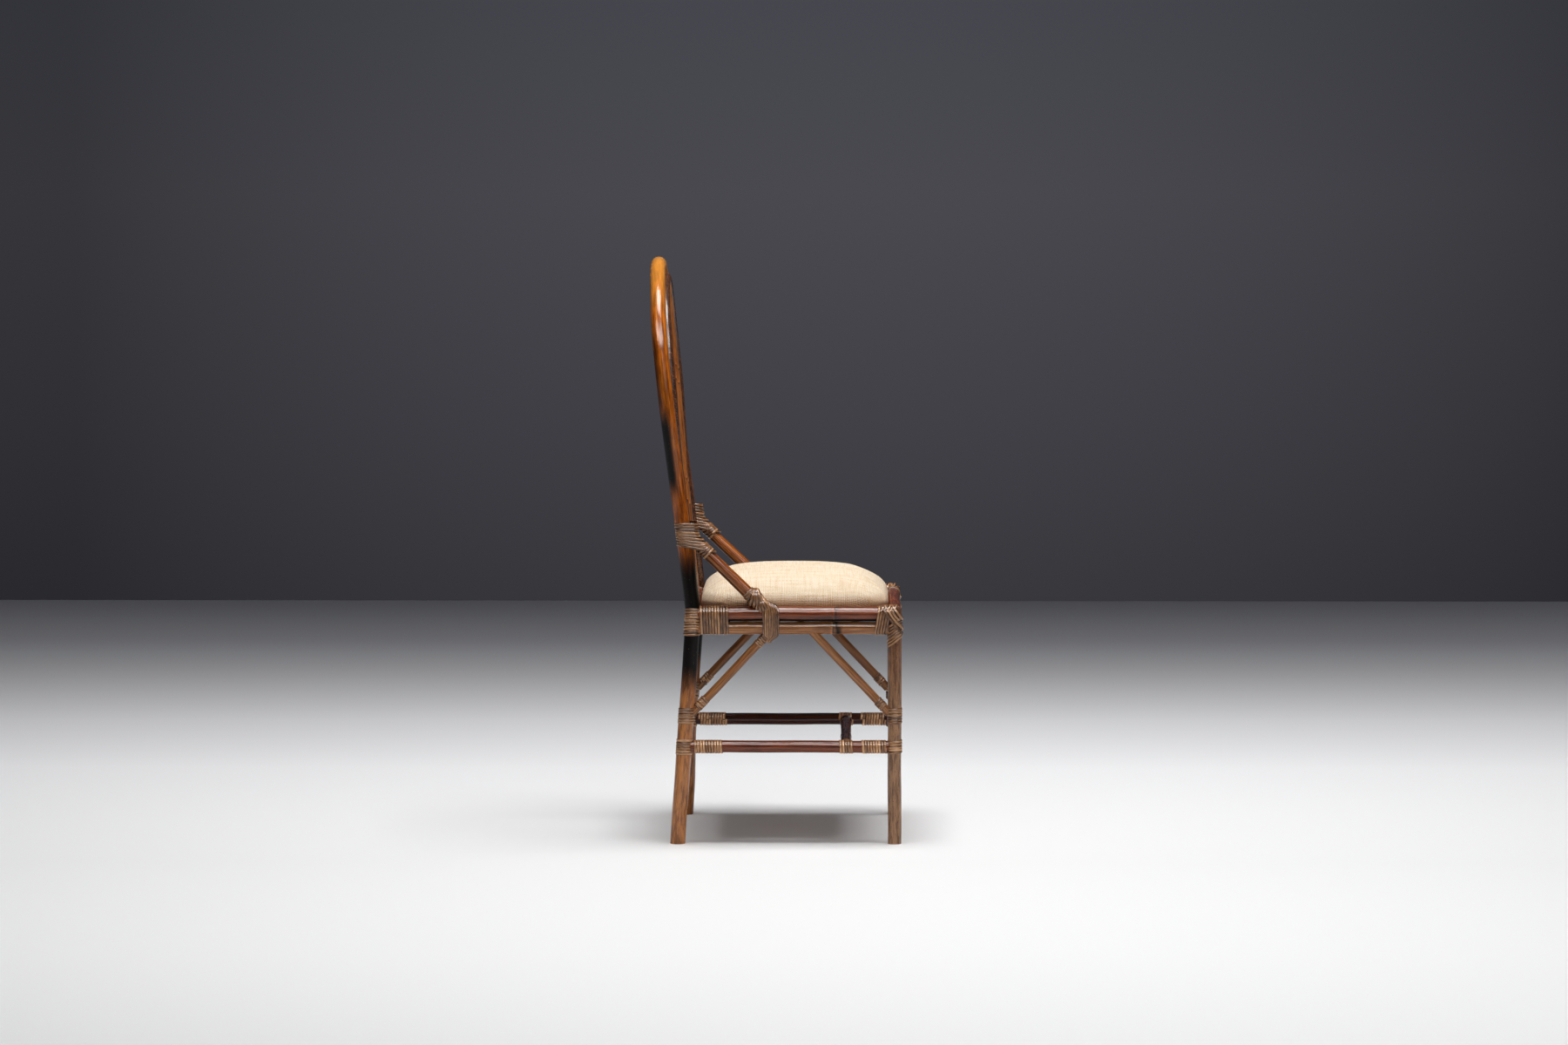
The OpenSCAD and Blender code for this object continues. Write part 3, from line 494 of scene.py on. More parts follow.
for side, x, seed, ahead, higher, stretcher_finish in (
        # The far, left stretcher takes the darker copy of the stain: painted shade.
        ("left", SIDE, 3.0, LEFT_LEG_AHEAD, LEFT_HIGHER, DARK_FAR_SIDE_SHADED),
        ("right", -SIDE, 5.3, 0.0, 0.0, DARK)):
    # Braces, struts and stretchers end 8 to 12 mm short of the line of the pole they butt on.
    straight = [
        ("front_leg", BROWN, "bamboo_brown", LEG_R, (x, -LEG_AHEAD - ahead, 0),
         (x, -LEG_AHEAD, LEG_TOP), {}),
        ("upper_rail", DARK, "bamboo_dark", UPPER_R, (x, BUTT, UPPER_RAIL),
         (x, UPPER_END, UPPER_RAIL), {"joints": [99], "soot_and_shade": under_shade}),
        ("lower_rail", TAN, "bamboo_tan", RAIL_R, (x, BUTT, LOWER_RAIL),
         (x, LOWER_END, LOWER_RAIL), {"joints": [103], "soot_and_shade": rail_soot}),
        ("arm_brace", BRACE, "bamboo_amber", ARM_FOOT_R,
         (x, setback(ARM_TOP) - 8, ARM_TOP - 8 * math.tan(arm_slope)),
         (x, ARM_FOOT + 9, UPPER_RAIL + 9 * math.tan(arm_slope)),
         {"soot_and_shade": arm_dark_end_and_shade, "taper": ARM_TAPER}),
        ("front_strut", TAN, "bamboo_tan", STRUT_R,
         (x, 9, FRONT_STRUT + 9 * math.tan(front_slope)),
         (x, FRONT_RISE / math.tan(front_slope), FRONT_STRUT + FRONT_RISE), {"soot_and_shade": strut_shade}),
        ("rear_strut", TAN, "bamboo_tan", STRUT_R,
         (x, setback(REAR_STRUT) - 12, REAR_STRUT + 12 * math.tan(rear_slope)),
         (x, setback(REAR_STRUT) - REAR_RISE / math.tan(rear_slope), REAR_STRUT + REAR_RISE),
         {"soot_and_shade": strut_shade}),
        ("stretcher", stretcher_finish, "bamboo_dark", STRETCHER_R, (x, BUTT, STRETCHER + higher),
         (x, setback(STRETCHER) - 12, STRETCHER + higher), {}),
    ]
    for number, (name, finish, slot, radius, start, end, more) in enumerate(straight):
        bm = bmesh.new()
        up = (0, 0, 1) if abs(start[2] - end[2]) < 1 else (1, 0, 0)
        pole(bm, [Vector(start), Vector(end)], radius, up=up, seed=seed + number * 0.71, **more)
        make_piece(bm, f"{side}_{name}_pole", finish, slot, f"{side}_{name}")

crossing = [  # with how far back and how high each lies, half its length, and its growth joint
    ("front_upper_rail", DARK, "bamboo_dark", UPPER_R - 1, 0.0, UPPER_RAIL, 186, [110]),
    ("front_lower_rail", TAN, "bamboo_tan", RAIL_R, 0.0, LOWER_RAIL, 186, [240]),
    ("rear_upper_rail", DARK, "bamboo_dark", UPPER_R, setback(UPPER_RAIL), UPPER_RAIL, 184, [208]),
    ("rear_lower_rail", TAN, "bamboo_tan", RAIL_R, setback(LOWER_RAIL), LOWER_RAIL, 184, [90]),
    ("cross_stretcher", DARK, "bamboo_dark", CROSS_R, CROSS_BACK, STRETCHER, 186, [120]),
]
for number, (name, finish, slot, radius, back, z, half, joints) in enumerate(crossing):
    left_z = z + (LEFT_HIGHER if name == "cross_stretcher" else 0.0)
    bm = bmesh.new()
    pole(bm, [Vector((-half, back, z)), Vector((half, back, left_z))], radius, joints,
         seed=9 + number * 0.83)
    make_piece(bm, f"{name}_pole", finish, slot, name)

# ---- The lashings -------------------------------------------------------------------------------
# Strips of rattan peel wound wet round each joint: bands round one or two poles, fans where an
# arm brace ends, and strips that cross over the front corners. They dry hard and slightly domed.
X = -SIDE  # each binding is built for this side
ACROSS, BACK, UP = Vector((1, 0, 0)), Vector((0, 1, 0)), Vector((0, 0, 1))
TURN = 1.37  # from the seed of one turn to the next
BETWEEN = 414.0  # the middle of a band round an upper and a lower rail
WAD_AHEAD, WAD_R, WAD_FROM = 16, 12, 578  # the wad of peel over the arm brace's upper end
KNOT_R, LOW_KNOT_R, KNUCKLE_R, OVER_RAIL_R = 17.5, 16.0, 14.8, 14.6
PROFILE = (  # a strip's section: across it, out from the pole, and how far it lies from the painted shade at its edges
    (-0.5, 0.0, 0.0), (-0.46, 0.52, 0.15), (-0.36, 0.83, 0.65), (-0.18, 0.97, 1.0), (0.0, 1.0, 1.0),
    (0.18, 0.97, 1.0), (0.36, 0.83, 0.65), (0.46, 0.52, 0.15), (0.5, 0.0, 0.0))
# The same skin of rattan left pale: grey-brown and satin, each strip of its own tone.
PEEL = peel_finish("rattan_peel", "#4a2c17", "#91643f", "#bd8d61")


def lash(bm, bars, point, normal, width=4.8, thick=1.3, lift=0.1, advance=0.0, inward=ACROSS,
         seed=0.0, count=44, span=(0.0, 1.0), bend=None):
    """A strip of peel drawn tight round bars, in the plane through point. Each bar is a point, a
    direction and a radius, or a round lump where its direction is None. The turn starts on the
    inward side, moves on by advance, and is drawn over that span of it; bend moves its points."""
    point, normal = Vector(point), Vector(normal).normalized()
    across = normal.orthogonal().normalized()
    beside = normal.cross(across)
    climb = bars[0][1].normalized() if bars[0][1] else normal
    touched = []
    for start, direction, radius in bars:
        start = Vector(start)
        one = direction.orthogonal().normalized() if direction else across
        two = direction.normalized().cross(one) if direction else beside
        apart = (point - start).dot(normal)
        if direction is None and abs(apart) > radius - 0.5:
            continue
        for n in range(60):
            way = one * math.cos(math.tau * n / 60) + two * math.sin(math.tau * n / 60)
            if direction:
                place, out = start + way * radius, way
                place += direction * ((point - place).dot(normal) / direction.dot(normal))
            else:
                place = start + normal * apart + way * math.sqrt(radius * radius - apart * apart)
                out = (place - start).normalized()
            flat = Vector(((place - point).dot(across), (place - point).dot(beside)))
            touched.append((flat, out))
    hull = [touched[i] for i in convex_hull_2d([p for p, _ in touched])]
    first = max(range(len(hull)),
                key=lambda i: (across * hull[i][0].x + beside * hull[i][0].y).dot(inward))
    hull = hull[first:] + hull[:first + 1]
    reach = distances([p for p, _ in hull])
    around = []
    for i in range(count + 1):
        share = span[0] + (span[1] - span[0]) * i / count
        k, t = stretch_at(reach, reach[-1] * share)
        flat, out = (a.lerp(b, t) for a, b in zip(hull[k], hull[k + 1]))
        sway = 0.35 * noise.noise((share * 3.1, seed * 1.7, 0.5)) * math.sin(math.pi * share)
        place = point + across * flat.x + beside * flat.y + climb * (advance * (share - 0.5) + sway)
        around.append((bend(place) if bend else place, out, share))
    rings, values = [], []
    for i, (place, out, share) in enumerate(around):
        run = (around[min(count, i + 1)][0] - around[max(0, i - 1)][0]).normalized()
        out = (out - run * out.dot(run)).normalized()
        aside = run.cross(out)
        centre = place + out * (lift + 0.12 * noise.noise((share * 5, seed, 3.1)))
        wide = width * (1 + 0.07 * noise.noise((share * 4, seed * 2.3, 9.0)))
        roll = 0.55 * noise.noise((share * 1.7, seed * 3.1, 5.0))
        rings.append([centre + aside * a * wide + out * h * thick * (1 + roll * a * 1.6)
                      for a, h, _ in PROFILE])
        values += [(Vector((a * wide + seed * 13, reach[-1] * share + seed * 101, 0)), clear,
                    seed * 0.618 % 1) for a, _, clear in PROFILE]
    sweep(bm, rings, values)


def band(bm, bars, middle, normal, turns, pitch=5.0, seed=0.0, wild=0.05, **more):
    """A band of turns side by side, its middle at that point. Each is tilted a little by wild."""
    middle, normal = Vector(middle), Vector(normal).normalized()
    other = normal.orthogonal().normalized()
    for i in range(turns):
        tip = Vector((noise.noise((i * 1.3, seed, 0.2)), noise.noise((i * 1.3, seed, 4.2)), 0))
        tip *= wild
        tilted = (normal + other * tip.x + normal.cross(other) * tip.y).normalized()
        lash(bm, bars, middle + normal * (i - (turns - 1) / 2) * pitch, tilted, pitch * 0.98,
             advance=pitch * 0.9, seed=seed + i * TURN, **more)


def make_pair(bm, name):
    """Mirrors a binding built for the -X side to the +X side, and makes the pair one piece."""
    bmesh.ops.mirror(bm, geom=bm.verts[:] + bm.edges[:] + bm.faces[:], axis="X", merge_dist=0.0001)
    if "stretcher" in name:
        left = [v for v in bm.verts if v.co.x > 0]
        bmesh.ops.translate(bm, vec=(0, 0, LEFT_HIGHER), verts=left)
    make_piece(bm, name, PEEL, "peel", name)


def on_post(z):
    """The middle of the hoop's leg at height z."""
    return Vector((X, setback(z), z))


def on_arm(up, over=0.0):
    """A point on the arm brace, that far up it from the rail and that far out over it."""
    foot = Vector((X, ARM_FOOT, UPPER_RAIL))
    return foot + arm_way * up + Vector((0, -arm_way.z, arm_way.y)) * over


leg_tilt = Vector((0, -FOOT_SPLAY / BEND, 1)).normalized()
arm_way = Vector((0, math.cos(arm_slope), math.sin(arm_slope)))
front_way = Vector((0, math.cos(front_slope), math.sin(front_slope)))
rear_way = Vector((0, -math.cos(rear_slope), math.sin(rear_slope)))
front_leg, post = ((X, -LEG_AHEAD, 0), UP, LEG_R), (on_post(0), leg_tilt, HOOP_R)
upper, lower = ((X, 0, UPPER_RAIL), BACK, UPPER_R), ((X, 0, LOWER_RAIL), BACK, RAIL_R)
arm = ((X, ARM_FOOT, UPPER_RAIL), arm_way, ARM_R)
front_strut = (Vector((X, 0, FRONT_STRUT)), front_way, STRUT_R)
rear_strut = (on_post(REAR_STRUT), rear_way, STRUT_R)
stretcher = ((X, 0, STRETCHER), BACK, STRETCHER_R)

# The arm brace's upper end: turns round post and brace, which fan out on to a wad of peel above
# it, and slanting turns down the brace.
bm = bmesh.new()
lean = Vector((0, setback(600) - setback(560), 40)).normalized()
post_top = (on_post(568), lean, HOOP_R)
for i in range(9):
    z = 596 - i * 5.0
    wad = ((X, setback(z) - WAD_AHEAD, z), lean, WAD_R)
    lash(bm, [post_top, arm if z < WAD_FROM else wad], on_post(z), (0, -0.03 - 0.024 * i, 1), 5.0,
         advance=4.6, seed=20 + i * TURN, count=56)
for i in range(6):
    turn = 0.80 - i * 0.15
    way = (arm_way * (1 - turn) + Vector((0, -0.15, 1)) * turn).normalized()
    lash(bm, [arm], on_arm(186 - i * 5.2), way, advance=3.5, lift=0.2 + 0.3 * (i % 2),
         seed=40 + i * TURN)
make_pair(bm, "arm_top_bindings")

# The arm brace's foot: slanting turns, a round knot and a lower one, and a fan over both rails.
bm = bmesh.new()
for i in range(4):
    lash(bm, [arm], on_arm(57 - i * 4.3), arm_way + Vector((0, 0.1 * i - 0.2, 0)), 5.0,
         advance=3.5, lift=0.2 + 1.2 * (i % 2), seed=80 + i * TURN)
knot = on_arm(39, 2.5)
for i in range(6):
    way = Vector((0, math.cos(0.42 - 0.16 * i), math.sin(0.42 - 0.16 * i)))
    lash(bm, [(knot, None, KNOT_R)], knot + way * (11.5 - i * 4.4) - UP * (1.5 * i - 2), way, 5.6,
         1.6, lift=0.5 * (i % 2), seed=90 + i * TURN)
knot = on_arm(21, 1.0)
for i in range(5):
    way = Vector((0, math.cos(0.1 - 0.2 * i), math.sin(0.1 - 0.2 * i)))
    lash(bm, [(knot, None, LOW_KNOT_R)], knot + way * (9.6 - i * 4.8), way, 5.6, 1.6,
         lift=0.4 * (i % 2), seed=98 + i * TURN)
for i in range(8):
    y = 241.5 - i * 3.9
    foot, head = 234 + (y - 234) * 0.25, 243 + (y - 234) * 0.35

    def drawn(p, foot=foot, head=head):
        """Draws a turn of the fan together below the rails and over the brace."""
        low, high = fade(392 - p.z, 0, 16), fade(p.z, 434, 462)
        return Vector((p.x, p.y + (foot - p.y) * low + (head - p.y) * high, p.z))

    crest = ((X, y, 452 - i * 2.3), BACK, 13.0 - i * 0.4)
    lash(bm, [upper, lower, crest, ((X, y, 379), BACK, 3.0)], (X, y, BETWEEN), BACK, 3.9, 1.4,
         lift=0.15 + 0.35 * (i % 2), seed=60 + i * TURN, count=64, bend=drawn)
make_pair(bm, "arm_foot_bindings")

# Bands round the rear strut's top, the post behind the rails, and both rails at their rear end.
bm = bmesh.new()
band(bm, [rear_strut], rear_strut[0] + rear_way * 202, rear_way, 5, 4.4, seed=100, wild=0.25)
make_pair(bm, "rear_strut_top_bindings")
bm = bmesh.new()
for z, seed in ((427.5, 110), (401.5, 117)):
    band(bm, [post], on_post(z), leg_tilt, 5, 5.2, seed=seed, wild=0.12, thick=2.0)
make_pair(bm, "rear_post_bindings")
bm = bmesh.new()
band(bm, [upper, lower], (X, 332.0, BETWEEN), BACK, 10, 5.3, seed=130, wild=0.02)
make_pair(bm, "side_rail_bindings")

# The front corner: turns round both rails, slanting turns up the leg, strips that cross the
# corner's knuckle the other way, and short strips laid over the rail.
bm = bmesh.new()
for i in range(5):
    lash(bm, [upper, lower], (X, 31.0 - i * 5.0, 416), (0, 1, 0.19), 4.8, 1.5, advance=3.0,
         lift=0.1 + 0.3 * (i % 2), seed=150 + i * TURN, count=56)
for i in range(7):
    lash(bm, [front_leg], (X, -LEG_AHEAD, 378 + i * 5.9), (0, 0.63, 0.777), 4.7, 1.5,
         lift=0.2 + 0.3 * (i % 2), seed=160 + i * TURN)
knuckle = ((X, -LEG_AHEAD, 429), None, KNUCKLE_R)
for i, z in enumerate((408.5, 418.0, 427.5, 437.0)):
    lash(bm, [front_leg, upper] if i < 2 else [knuckle], (X, -LEG_AHEAD, z), (0, 0.8, -0.6), 5.4,
         1.6, lift=1.6 + 0.3 * (i % 2), seed=170 + i * TURN, count=56)
over_rail = ((X, 0, UPPER_RAIL), BACK, OVER_RAIL_R)
for i in range(5):
    lash(bm, [over_rail], (X, 19.5 - i * 5.6, 441), (0, 0.8, 0.6), 4.8, 1.6, lift=1.2, inward=-UP,
         span=(0.32, 0.68), seed=180 + i * TURN, count=24)
make_pair(bm, "front_corner_bindings")

# Bands round the ends of the front rails, and of the rear rails.
bm = bmesh.new()
rails = [((0, 0, UPPER_RAIL), ACROSS, UPPER_R - 1), ((0, 0, LOWER_RAIL), ACROSS, RAIL_R)]
band(bm, rails, (X + 24.5, 0, BETWEEN), ACROSS, 5, seed=200, wild=0.03, inward=BACK)
make_pair(bm, "front_rail_bindings")
bm = bmesh.new()
rails = [((0, setback(z), z), ACROSS, r) for z, r in ((UPPER_RAIL, UPPER_R), (LOWER_RAIL, RAIL_R))]
band(bm, rails, (X + 29.6, setback(BETWEEN), BETWEEN), ACROSS, 5, seed=210, wild=0.03, inward=-BACK)
make_pair(bm, "rear_rail_bindings")

# Bands where each strut's foot meets its leg: one round the leg and one round the strut.
bm = bmesh.new()
band(bm, [post], on_post(239), leg_tilt, 6, seed=220, wild=0.10)
band(bm, [rear_strut], rear_strut[0] + rear_way * 42, rear_way, 5, 4.6, seed=230, wild=0.25)
make_pair(bm, "rear_strut_foot_bindings")
bm = bmesh.new()
band(bm, [front_leg], (X, 0, 239), UP, 6, seed=240, wild=0.10)
band(bm, [front_strut], front_strut[0] + front_way * 36, front_way, 4, 4.6, seed=250, wild=0.25)
make_pair(bm, "front_strut_foot_bindings")

# Bands where the stretchers meet the legs and each other: one round each of the two poles.
bm = bmesh.new()
band(bm, [post], on_post(STRETCHER), leg_tilt, 6, seed=260, wild=0.08)
band(bm, [stretcher], (X, setback(STRETCHER) - 44.6, STRETCHER), BACK, 10, 5.2, seed=270, wild=0.03)
make_pair(bm, "rear_stretcher_bindings")
bm = bmesh.new()
band(bm, [front_leg], (X, 0, STRETCHER), UP, 5, seed=280, wild=0.08)
band(bm, [stretcher], (X, 36.6, STRETCHER), BACK, 9, 5.1, seed=290, wild=0.03)
make_pair(bm, "front_stretcher_bindings")
bm = bmesh.new()
band(bm, [stretcher], (X, CROSS_BACK, STRETCHER), BACK, 5, seed=300)
band(bm, [((0, CROSS_BACK, STRETCHER), ACROSS, CROSS_R)], (X + 26.6, CROSS_BACK, STRETCHER),
     ACROSS, 4, seed=310, inward=BACK)
make_pair(bm, "cross_stretcher_bindings")

# ---- The cushion --------------------------------------------------------------------------------
# A foam pad on a plywood board under woven raffia, drawn down tight over the edges and turned in
# under the board. It drops in between the rails and stands crowned above them.
SEAT_HALF_W, SEAT_HALF_D = 181.8, 172.95
SEAT_MIDDLE = 187.15  # behind the leg line
CUSHION_TOP, WIDEST, FOOT = 498.0, 450.0, 411.3
SOFT_EDGE, DRAWN_IN = 130.0, 3.5
DRAWN = ((0.05, 446), (0.15, 441), (0.4, 437), (0.7, 428), (0.9, 418), (1.1, FOOT), (4.0, FOOT),
         (9.0, FOOT))  # below the widest place: how far in, in parts of DRAWN_IN, and how high
EDGE_SQUARENESS, CROWN_SQUARENESS = 7.0, 2.6
GRID = 72
STEPS, MOST_ASIDE, MOST_UP = 20, 0.0015, 0.004  # of the cloth simulation, in frames and metres
THREAD_PULL = 0.7  # how far the weave is drawn out at the corners as the side falls


def edge_place(a, b, half_w, half_d, squareness):
    """A point in the direction (a, b) on a rounded square of that half width and half depth."""
    size = max(1e-6, (abs(a) ** squareness + abs(b) ** squareness) ** (1 / squareness))
    return half_w * a / size, SEAT_MIDDLE + half_d * b / size


def crowned(a, b):
    """The cushion's top, over a square from -1 to 1: a soft shoulder and a gently domed middle."""
    ring = max(abs(a), abs(b), 1e-6)
    turn = math.acos(max(0.0, 1 - (1 - ring) * SEAT_HALF_D / SOFT_EDGE))
    squareness = CROWN_SQUARENESS + (EDGE_SQUARENESS - CROWN_SQUARENESS) * math.cos(turn) ** 2
    x, y = edge_place(a / ring, b / ring, SEAT_HALF_W * ring, SEAT_HALF_D * ring, squareness)
    z = WIDEST + (CUSHION_TOP - 1.5 - WIDEST) * math.sin(turn) + 1.5 * (1 - ring) ** 0.5
    return Vector((x, y - over_front(y, z), z))


def over_front(y, z):
    """How far the cushion bulges out over the front rail."""
    return 7.0 * fade(SEAT_MIDDLE - y, SEAT_HALF_D - 40, SEAT_HALF_D) * fade(z, 436, 438) * (
        1 - fade(z, 438, 476))


def puffed(bm):
    """The same closed form, blown up a little as cloth over a springy pad, held below the rails."""
    bmesh.ops.scale(bm, vec=(0.001, 0.001, 0.001), verts=bm.verts)
    mesh = made_mesh(bm, "cover")
    cover = placed("cover", mesh)
    even = cover.modifiers.new("even", "REMESH")
    even.mode, even.voxel_size = "VOXEL", 0.005
    bpy.context.view_layer.update()
    ready = cover.evaluated_get(bpy.context.evaluated_depsgraph_get())
    evened = bpy.data.meshes.new_from_object(ready)
    cover.modifiers.clear()
    cover.data = evened
    start = [v.co.copy() for v in evened.vertices]
    held = cover.vertex_groups.new(name="held")
    held.add([i for i, co in enumerate(start) if co.z < 0.440], 1.0, "REPLACE")
    cloth = cover.modifiers.new("cloth", "CLOTH")
    cloth.settings.use_pressure, cloth.settings.uniform_pressure_force = True, 4.0
    cloth.settings.effector_weights.gravity = 0.0
    cloth.settings.vertex_group_mass = "held"
    cloth.point_cache.frame_start, cloth.point_cache.frame_end = 1, STEPS
    for step in range(1, STEPS + 1):
        scene.frame_set(step)
    ready = cover.evaluated_get(bpy.context.evaluated_depsgraph_get())
    blown = bpy.data.meshes.new_from_object(ready)
    scene.frame_set(1)
    bm = bmesh.new()
    bm.from_mesh(blown)
    for vert, co in zip(bm.verts, start):
        moved = vert.co - co
        aside, rise = Vector((moved.x, moved.y, 0)), moved.z
        aside *= min(1.0, MOST_ASIDE / max(1e-9, aside.length))
        vert.co = co + aside + Vector((0, 0, max(-MOST_UP, min(MOST_UP, rise))))
        vert.co *= 1000
    bpy.data.objects.remove(cover)
    for used in (mesh, evened, blown):
        bpy.data.meshes.remove(used)
    return bm


bm = bmesh.new()
bmesh.ops.create_grid(bm, x_segments=GRID, y_segments=GRID, size=1)
flat = {v: (v.co.x, v.co.y) for v in bm.verts}
for vert, (a, b) in flat.items():
    vert.co = crowned(a, b)
edges = [e for e in bm.edges if e.is_boundary]
for parts, z in DRAWN:
    corner = {v: flat[v] for e in edges for v in e.verts}
    extruded = bmesh.ops.extrude_edge_only(bm, edges=edges)["geom"]
    edges = [e for e in extruded if isinstance(e, bmesh.types.BMEdge) and e.is_boundary]
    for vert in {v for e in edges for v in e.verts}:
        above = next(o for o in (e.other_vert(vert) for e in vert.link_edges) if o in corner)
        a, b = corner[above]
        flat[vert] = (a, b)
        inset = DRAWN_IN * parts
        x, y = edge_place(a, b, SEAT_HALF_W - inset, SEAT_HALF_D - inset, EDGE_SQUARENESS)
        vert.co = (x, y - over_front(y, z), z)
bmesh.ops.contextual_create(bm, geom=edges)
bmesh.ops.recalc_face_normals(bm, faces=bm.faces)
bm = puffed(bm)


def loose_fibre(bm, x, y, height, seed):
    """A broken end of raffia that stands up from the weave and curls over."""
    start = Vector((x, y, height))
    way = Vector((noise.noise((seed, 0, 0)), noise.noise((0, seed, 0)), 0.8))
    rings = []
    for i in range(7):
        t = i / 6
        curl = Vector((math.cos(seed * 7 + 3 * t), math.sin(seed * 7 + 3 * t), 0)) * 2.2 * t
        centre = start + way * (1.0 + seed % 1) * 4.5 * t + curl - Vector((0, 0, 3.5 * t * t))
        r = 0.30 * (1 - 0.6 * t)
        rings.append([centre + Vector((r * math.cos(a), r * math.sin(a), 0))
                      for a in (0, 2.09, 4.19)])
    sweep(bm, rings)


fibres = bmesh.new()
for number in range(26):
    a, b = noise.noise((number * 3.7, 0.5, 0)) * 1.7, noise.noise((number * 2.3, 9.5, 0)) * 1.7
    place = crowned(max(-0.8, min(0.8, a)), max(-0.8, min(0.8, b)))
    loose_fibre(fibres, place.x, place.y, place.z - 0.5, number * 0.731 + 0.2)
mesh = made_mesh(fibres, "fibres")
bm.from_mesh(mesh)
bpy.data.meshes.remove(mesh)
thread = bm.loops.layers.uv.new("threads")
for face in bm.faces:
    for loop in face.loops:
        co = loop.vert.co
        a, b = co.x / SEAT_HALF_W, (co.y - SEAT_MIDDLE) / SEAT_HALF_D
        pull = Vector((math.copysign(abs(a) ** 5, a), math.copysign(abs(b) ** 5, b)))
        fall = max(0.0, CUSHION_TOP - co.z)
        pull *= fall * THREAD_PULL
        loop[thread].uv = (co.x + pull.x, co.y + pull.y)


def raffia_weave(name, pitch):
    """Plain-woven raffia with threads that pitch in mm apart: cream, uneven in tone from thread to
    thread, with painted shade in the gaps between the threads, deepest low on the sides, painted
    shade browning the turned-in side, and a few brown flecks."""
    finish, add = new_finish(name)
    uv = add("UVMap", uv_map="threads")
    warped = add("TexNoise", {"Vector": uv, "Scale": 1 / 40, "Detail": 2.0}, out="Color",
                 noise_dimensions="2D")
    shift = add("VectorMath", {0: warped, 1: (2.0, 2.0, 0)}, operation="MULTIPLY")
    moved = add("VectorMath", {0: uv, 1: shift}, operation="ADD")
    waves = []
    for way in add("SeparateXYZ", {0: moved}, out=(0, 1)):
        turned = add("Math", {0: way, 1: math.pi / pitch}, operation="MULTIPLY")
        waves.append(add("Math", {0: turned}, operation="SINE"))
    both = add("Math", {0: waves[0], 1: waves[1]}, operation="MULTIPLY")
    over = add("Math", {0: both, 1: 0.0}, operation="GREATER_THAN")
    warp, weft = (add("Math", {0: w}, operation="ABSOLUTE") for w in waves)

    def strand(cross, run):
        """The height of a thread, round across it and dipping where it goes under another."""
        round_top = add("Math", {0: cross, 1: 0.55}, operation="POWER")
        crown = add("Math", {0: run, 1: 0.75, 2: 0.25}, operation="MULTIPLY_ADD")
        return add("Math", {0: round_top, 1: crown}, operation="MULTIPLY")

    height = add("Mix", {0: over, 2: strand(weft, warp), 3: strand(warp, weft)})

    def tone(scale):
        """Noise drawn out along the threads by that scale."""
        sized = add("Mapping", {"Vector": moved, "Scale": scale})
        return add("TexNoise", {"Vector": sized, "Scale": 1.0, "Detail": 2.0},
                   noise_dimensions="2D")

    threads = add("Mix", {0: over, 2: tone((1 / 60, 1 / pitch, 1)), 3: tone((1 / 9, 1 / 60, 1))})
    colour = add("ValToRGB", {"Fac": threads}, [
        (0.28, "#d4b894"), (0.48, "#e2ceb2"), (0.68, "#e8d8c2")])
    # Painted shade in the gaps between threads.
    painted_gap_shade = add("ValToRGB", {"Fac": height}, [(0.06, "#4a2c14"), (0.24, "#c6a376"), (0.42, 1)])
    level = add("SeparateXYZ", {0: add("TexCoord", out="Object")}, out=2)
    # The painted gap shade is deepest low on the sides, where the rows face down.
    low_gap_shade = add("MapRange", {
        "Value": level, "From Min": 0.482, "From Max": 0.450, "To Min": 0.18, "To Max": 1.0})
    colour = add("Mix", {0: low_gap_shade, 6: colour, 7: painted_gap_shade}, **MULTIPLY)
    # Painted shade: the weave browner low on the sides, where they turn in and face down.
    shaded = add("MapRange", {
        "Value": level, "From Min": 0.462, "From Max": 0.440, "To Max": 1.0})
    colour = add("Mix", {0: shaded, 6: colour, 7: "#b88c60"}, **MULTIPLY)
    specks = add("ValToRGB", {"Fac": tone((1 / 2.2, 1 / 1.6, 1))}, [(0.70, 0), (0.76, 1)])
    specks = add("Math", {0: specks, 1: 0.55}, operation="MULTIPLY")
    colour = add("Mix", {0: specks, 6: colour, 7: "#7a5a30"}, **MIX)
    bump = add("Bump", {"Height": height, "Strength": 1.0, "Distance": 0.0006})
    shader = add("BsdfPrincipled", {
        "Base Color": colour, "Roughness": 0.72, "IOR": 1.5, "Normal": bump,
        "Sheen Weight": 0.12, "Sheen Roughness": 0.5})
    add("OutputMaterial", {"Surface": shader})
    return finish


# Bleached palm fibre, plain-woven: matt and pale, with painted shade in the gaps of the weave and
# painted shade browning it where the side turns in.
RAFFIA = raffia_weave("woven_raffia", 3.2)
cushion = make_piece(bm, "cushion", RAFFIA, "raffia", "seat_cover", "seat_pad")
finer = cushion.modifiers.new("finer", "SUBSURF")
finer.levels = finer.render_levels = 1

# ---- Parts under the seat -----------------------------------------------------------------------
# A plywood board screwed to three bamboo poles that span the rails, and the beech dowels that pin
# the frame. They are the CAD nodes as they were built, each with a finish.


def plain_wood(name, dark, light, rough):
    """Bare wood: grain lines along X."""
    finish, add = new_finish(name)
    place = add("TexCoord", out="Object")
    sized = add("Mapping", {"Vector": place, "Scale": (18.0, 400.0, 400.0)})
    fibre = add("TexNoise", {"Vector": sized, "Scale": 1.0, "Detail": 4.0})
    colour = add("ValToRGB", {"Fac": fibre}, [(0.35, dark), (0.65, light)])
    bump = add("Bump", {"Height": fibre, "Strength": 0.2, "Distance": 0.0002})
    shader = add("BsdfPrincipled", {"Base Color": colour, "Roughness": rough, "Normal": bump})
    add("OutputMaterial", {"Surface": shader})
    return finish


